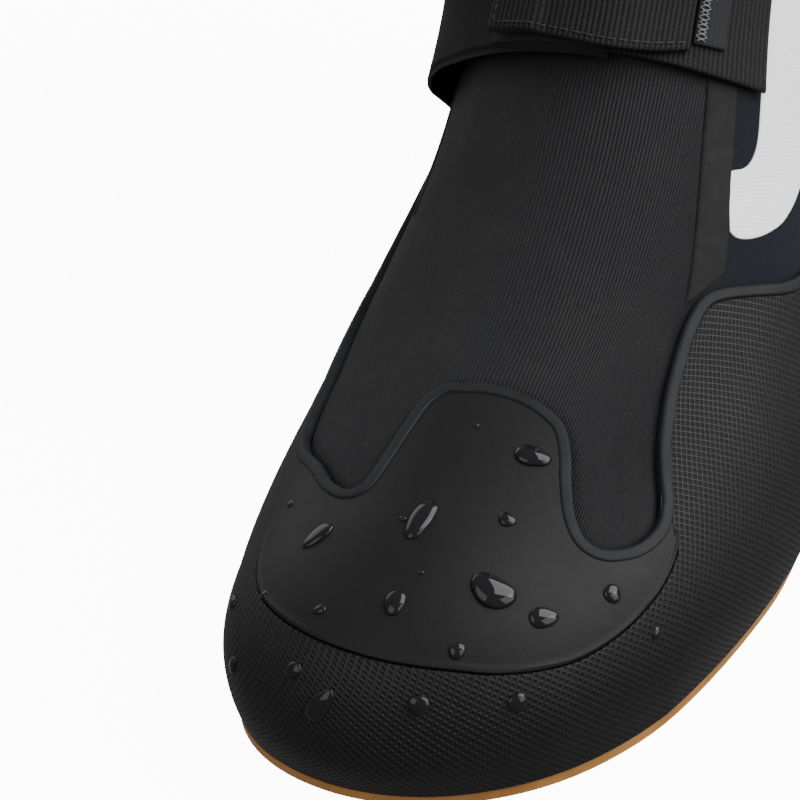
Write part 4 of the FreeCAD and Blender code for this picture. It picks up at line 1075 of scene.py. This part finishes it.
def loop_grid(sign):
    off = sign * (0.58 * np.clip(h, 0.08, 1))[None] + (rb[:, None] * np.clip(h, 0.3, 1)[None] if sign > 0 else 0)
    y = c[:, :1] + nn[:, :1] * off
    z = c[:, 1:] + nn[:, 1:] * off
    x = np.repeat(X[None], len(c), 0)
    return np.stack([x + OX, y + OY, z], -1)


uvl = np.stack([np.repeat(s[:, None], len(t), 1), np.repeat(X[None], len(s), 0)], -1)
use(slab("pull_loop", loop_grid(1), loop_grid(-1), uvl, M_WEB, closed=True, sharp=0), "heel_loop", "webbing", "pull_loop")

# ------------------------------------------------------------------ carried-over CAD nodes
for node, mat in (("outsole", M_GUM), ("midsole_foam", M_FOAM), ("sock_sole_panel", M_SOLE_PANEL), ("insole", M_INSOLE), ("heel_counter", M_STIFF), ("toe_stiffener", M_STIFF)):
    ob = NODES[node]
    if not ob.data.materials:
        ob.data.materials.append(mat)
    for i in range(len(ob.material_slots)):
        ob.material_slots[i].material = mat

# ------------------------------------------------------------------ water drops (stage dressing, not part of the boot)
AZ, EL, SC, CX, CY = 13.925089744772109, 34.57689081376191, 5.140882312802967, 560.0715643576186, 450.1167931692264
a, e = math.radians(AZ), math.radians(EL)
RIGHT = np.array([math.cos(a), math.sin(a), 0.0])
DROPS = [(5.553, -0.15, 0.5, 0.5, 0), (5.233, 16.58, 3.3, 2.5, -20), (4.683, -3.46, 4.6, 2.3, 62), (4.634, -8.17, 0.7, 0.6, 0), (4.653, 16.01, 1.7, 1.5, 0),
         (3.889, -26.08, 3.8, 1.7, 28), (3.537, -38.98, 0.9, 0.7, 20), (4.174, 2.54, 0.55, 0.5, 0), (3.81, -0.1, 2.5, 2.0, 70), (3.866, 16.98, 4.3, 3.3, -15),
         (3.345, 24.82, 3.0, 1.9, 18), (3.276, 34.31, 1.9, 1.7, 0), (3.184, 12.57, 1.6, 1.5, 0), (2.391, 39.52, 1.35, 1.25, 0), (2.246, 20.98, 1.9, 1.7, 0),
         (2.433, 7.72, 1.9, 1.8, 0), (2.175, -6.86, 3.7, 1.9, 55), (2.542, -12.71, 2.0, 1.3, 15), (2.322, -33.24, 1.6, 1.4, 40), (1.848, -24.97, 1.6, 1.2, 50),
         (3.411, -13.74, 1.2, 1.0, 0), (2.993, -26.22, 1.0, 0.9, 0)]
VD, FD, k0 = [], [], 0
nr, na = 12, 40
for i, (dv, dd, ra, rb, ang) in enumerate(DROPS):
    p0 = lastp(dv, dd)
    n0 = normal(dv, dd)
    ax = unit(RIGHT - n0 * (RIGHT @ n0))
    bx = np.cross(n0, ax)
    c0, s0 = math.cos(math.radians(ang)), math.sin(math.radians(ang))
    e1, e2 = ax * c0 + bx * s0, bx * c0 - ax * s0
    on_cap = float(lin(np.array(sorted([(q[1], q[0]) for q in CAP_LOW])), dd)) < dv and abs(dd + 4) < 45
    base = RUB_OUT + (0.1 if on_cap else 0.0)
    hgt = 0.42 * min(ra, rb) + 0.14
    rho = np.sin(np.linspace(0, np.pi / 2, nr + 1))
    th = np.linspace(0, 2 * np.pi, na, endpoint=False)
    R, T_ = np.meshgrid(rho, th, indexing="ij")
    wob = 1 + 0.07 * np.sin(2 * T_ + i) + 0.05 * np.sin(3 * T_ + 2.1 * i)
    X, Y = R * ra * wob * np.cos(T_), R * rb * wob * np.sin(T_)
    side = e1[None, None] * X[..., None] + e2[None, None] * Y[..., None]
    v2, d2 = shift(np.full(X.shape, dv), np.full(X.shape, dd), side, 1.0)
    H = hgt * np.sqrt(np.clip(1 - R ** 2, 0, 1)) ** 0.85
    top = skin(v2, d2, base + H)
    bot = skin(v2, d2, np.full(X.shape, base - 0.12))
    n1 = (nr + 1) * na
    idx = np.arange(n1).reshape(nr + 1, na)
    for r_ in range(nr):
        for q in range(na):
            q2 = (q + 1) % na
            FD.append([k0 + idx[r_, q], k0 + idx[r_ + 1, q], k0 + idx[r_ + 1, q2], k0 + idx[r_, q2]])
            FD.append([k0 + n1 + idx[r_, q2], k0 + n1 + idx[r_ + 1, q2], k0 + n1 + idx[r_ + 1, q], k0 + n1 + idx[r_, q]])
    for q in range(na):
        q2 = (q + 1) % na
        FD.append([k0 + idx[nr, q], k0 + n1 + idx[nr, q], k0 + n1 + idx[nr, q2], k0 + idx[nr, q2]])
    VD += [top.reshape(-1, 3), bot.reshape(-1, 3)]
    k0 += 2 * n1
WM = bpy.data.materials.new("water")
WM.use_nodes = True
wb = WM.node_tree.nodes["Principled BSDF"]
wb.inputs["IOR"].default_value = 1.33
wb.inputs["Roughness"].default_value = 0.04
wb.inputs["Base Color"].default_value = (0.008, 0.008, 0.009, 1)
me = bpy.data.meshes.new("water")
me.from_pydata((np.concatenate(VD) / 1000.0).tolist(), [], [[int(q) for q in f] for f in FD])
bm = bmesh.new()
bm.from_mesh(me)
bmesh.ops.remove_doubles(bm, verts=bm.verts, dist=1e-7)
bmesh.ops.recalc_face_normals(bm, faces=bm.faces)
bm.to_mesh(me)
bm.free()
me.shade_smooth()
me.materials.append(WM)
water = bpy.data.objects.new("water", me)
bpy.context.scene.collection.objects.link(water)

# ------------------------------------------------------------------ stage, light and camera
bpy.ops.mesh.primitive_plane_add(size=6.0, location=(0, 0, 0))
floor = bpy.context.object
floor.name = "floor"
fm = bpy.data.materials.new("floor")
fm.use_nodes = True
fb = fm.node_tree.nodes["Principled BSDF"]
fb.inputs["Base Color"].default_value = (0.93, 0.93, 0.93, 1)
fb.inputs["Roughness"].default_value = 0.9
fb.inputs["Emission Color"].default_value = (1, 1, 1, 1)
fb.inputs["Emission Strength"].default_value = 11.0
floor.data.materials.append(fm)
floor.visible_diffuse = False        # the bright backdrop does not light the boot
floor.visible_glossy = False

world = bpy.data.worlds.new("studio")
bpy.context.scene.world = world
world.use_nodes = True
world.node_tree.nodes["Background"].inputs[0].default_value = (1, 1, 1, 1)
world.node_tree.nodes["Background"].inputs[1].default_value = 0.36


def area(name, loc, target, size, power, size_y=None):
    l = bpy.data.lights.new(name, "AREA")
    l.energy = power
    l.size = size
    if size_y:
        l.shape = "RECTANGLE"
        l.size_y = size_y
    o = bpy.data.objects.new(name, l)
    bpy.context.scene.collection.objects.link(o)
    o.location = loc
    o.rotation_euler = (Vector(target) - Vector(loc)).to_track_quat("-Z", "Y").to_euler()


area("key", (1.05, 0.35, 1.35), (0, -0.05, 0.06), 1.5, 48)
area("fill", (-0.6, -1.3, 1.2), (0, -0.05, 0.05), 1.4, 13)
area("rim", (-1.3, 0.9, 0.8), (0, -0.05, 0.05), 1.2, 8)
area("side", (1.5, -0.4, 0.75), (0.03, -0.02, 0.06), 1.2, 16)

AZ, EL, SC, CX, CY = 13.925089744772109, 34.57689081376191, 5.140882312802967, 560.0715643576186, 450.1167931692264
DIST = 900.0
a, e = math.radians(AZ), math.radians(EL)
back = np.array([math.sin(a) * math.cos(e), -math.cos(a) * math.cos(e), math.sin(e)])
right = np.array([math.cos(a), math.sin(a), 0.0])
up = np.cross(back, right)
eye = np.array([8.0 + OX, 75.0 + OY, 35.0]) + back * DIST - right * (CX - 400) / SC - up * (400 - CY) / SC
cam = bpy.data.cameras.new("camera")
cam.sensor_width = 36.0
cam.lens = SC * DIST / 800.0 * 36.0
cam.clip_start = 0.05
co = bpy.data.objects.new("camera", cam)
bpy.context.scene.collection.objects.link(co)
co.location = eye / 1000.0
co.rotation_euler = Vector(-back).to_track_quat("-Z", "Y").to_euler()
bpy.context.scene.camera = co
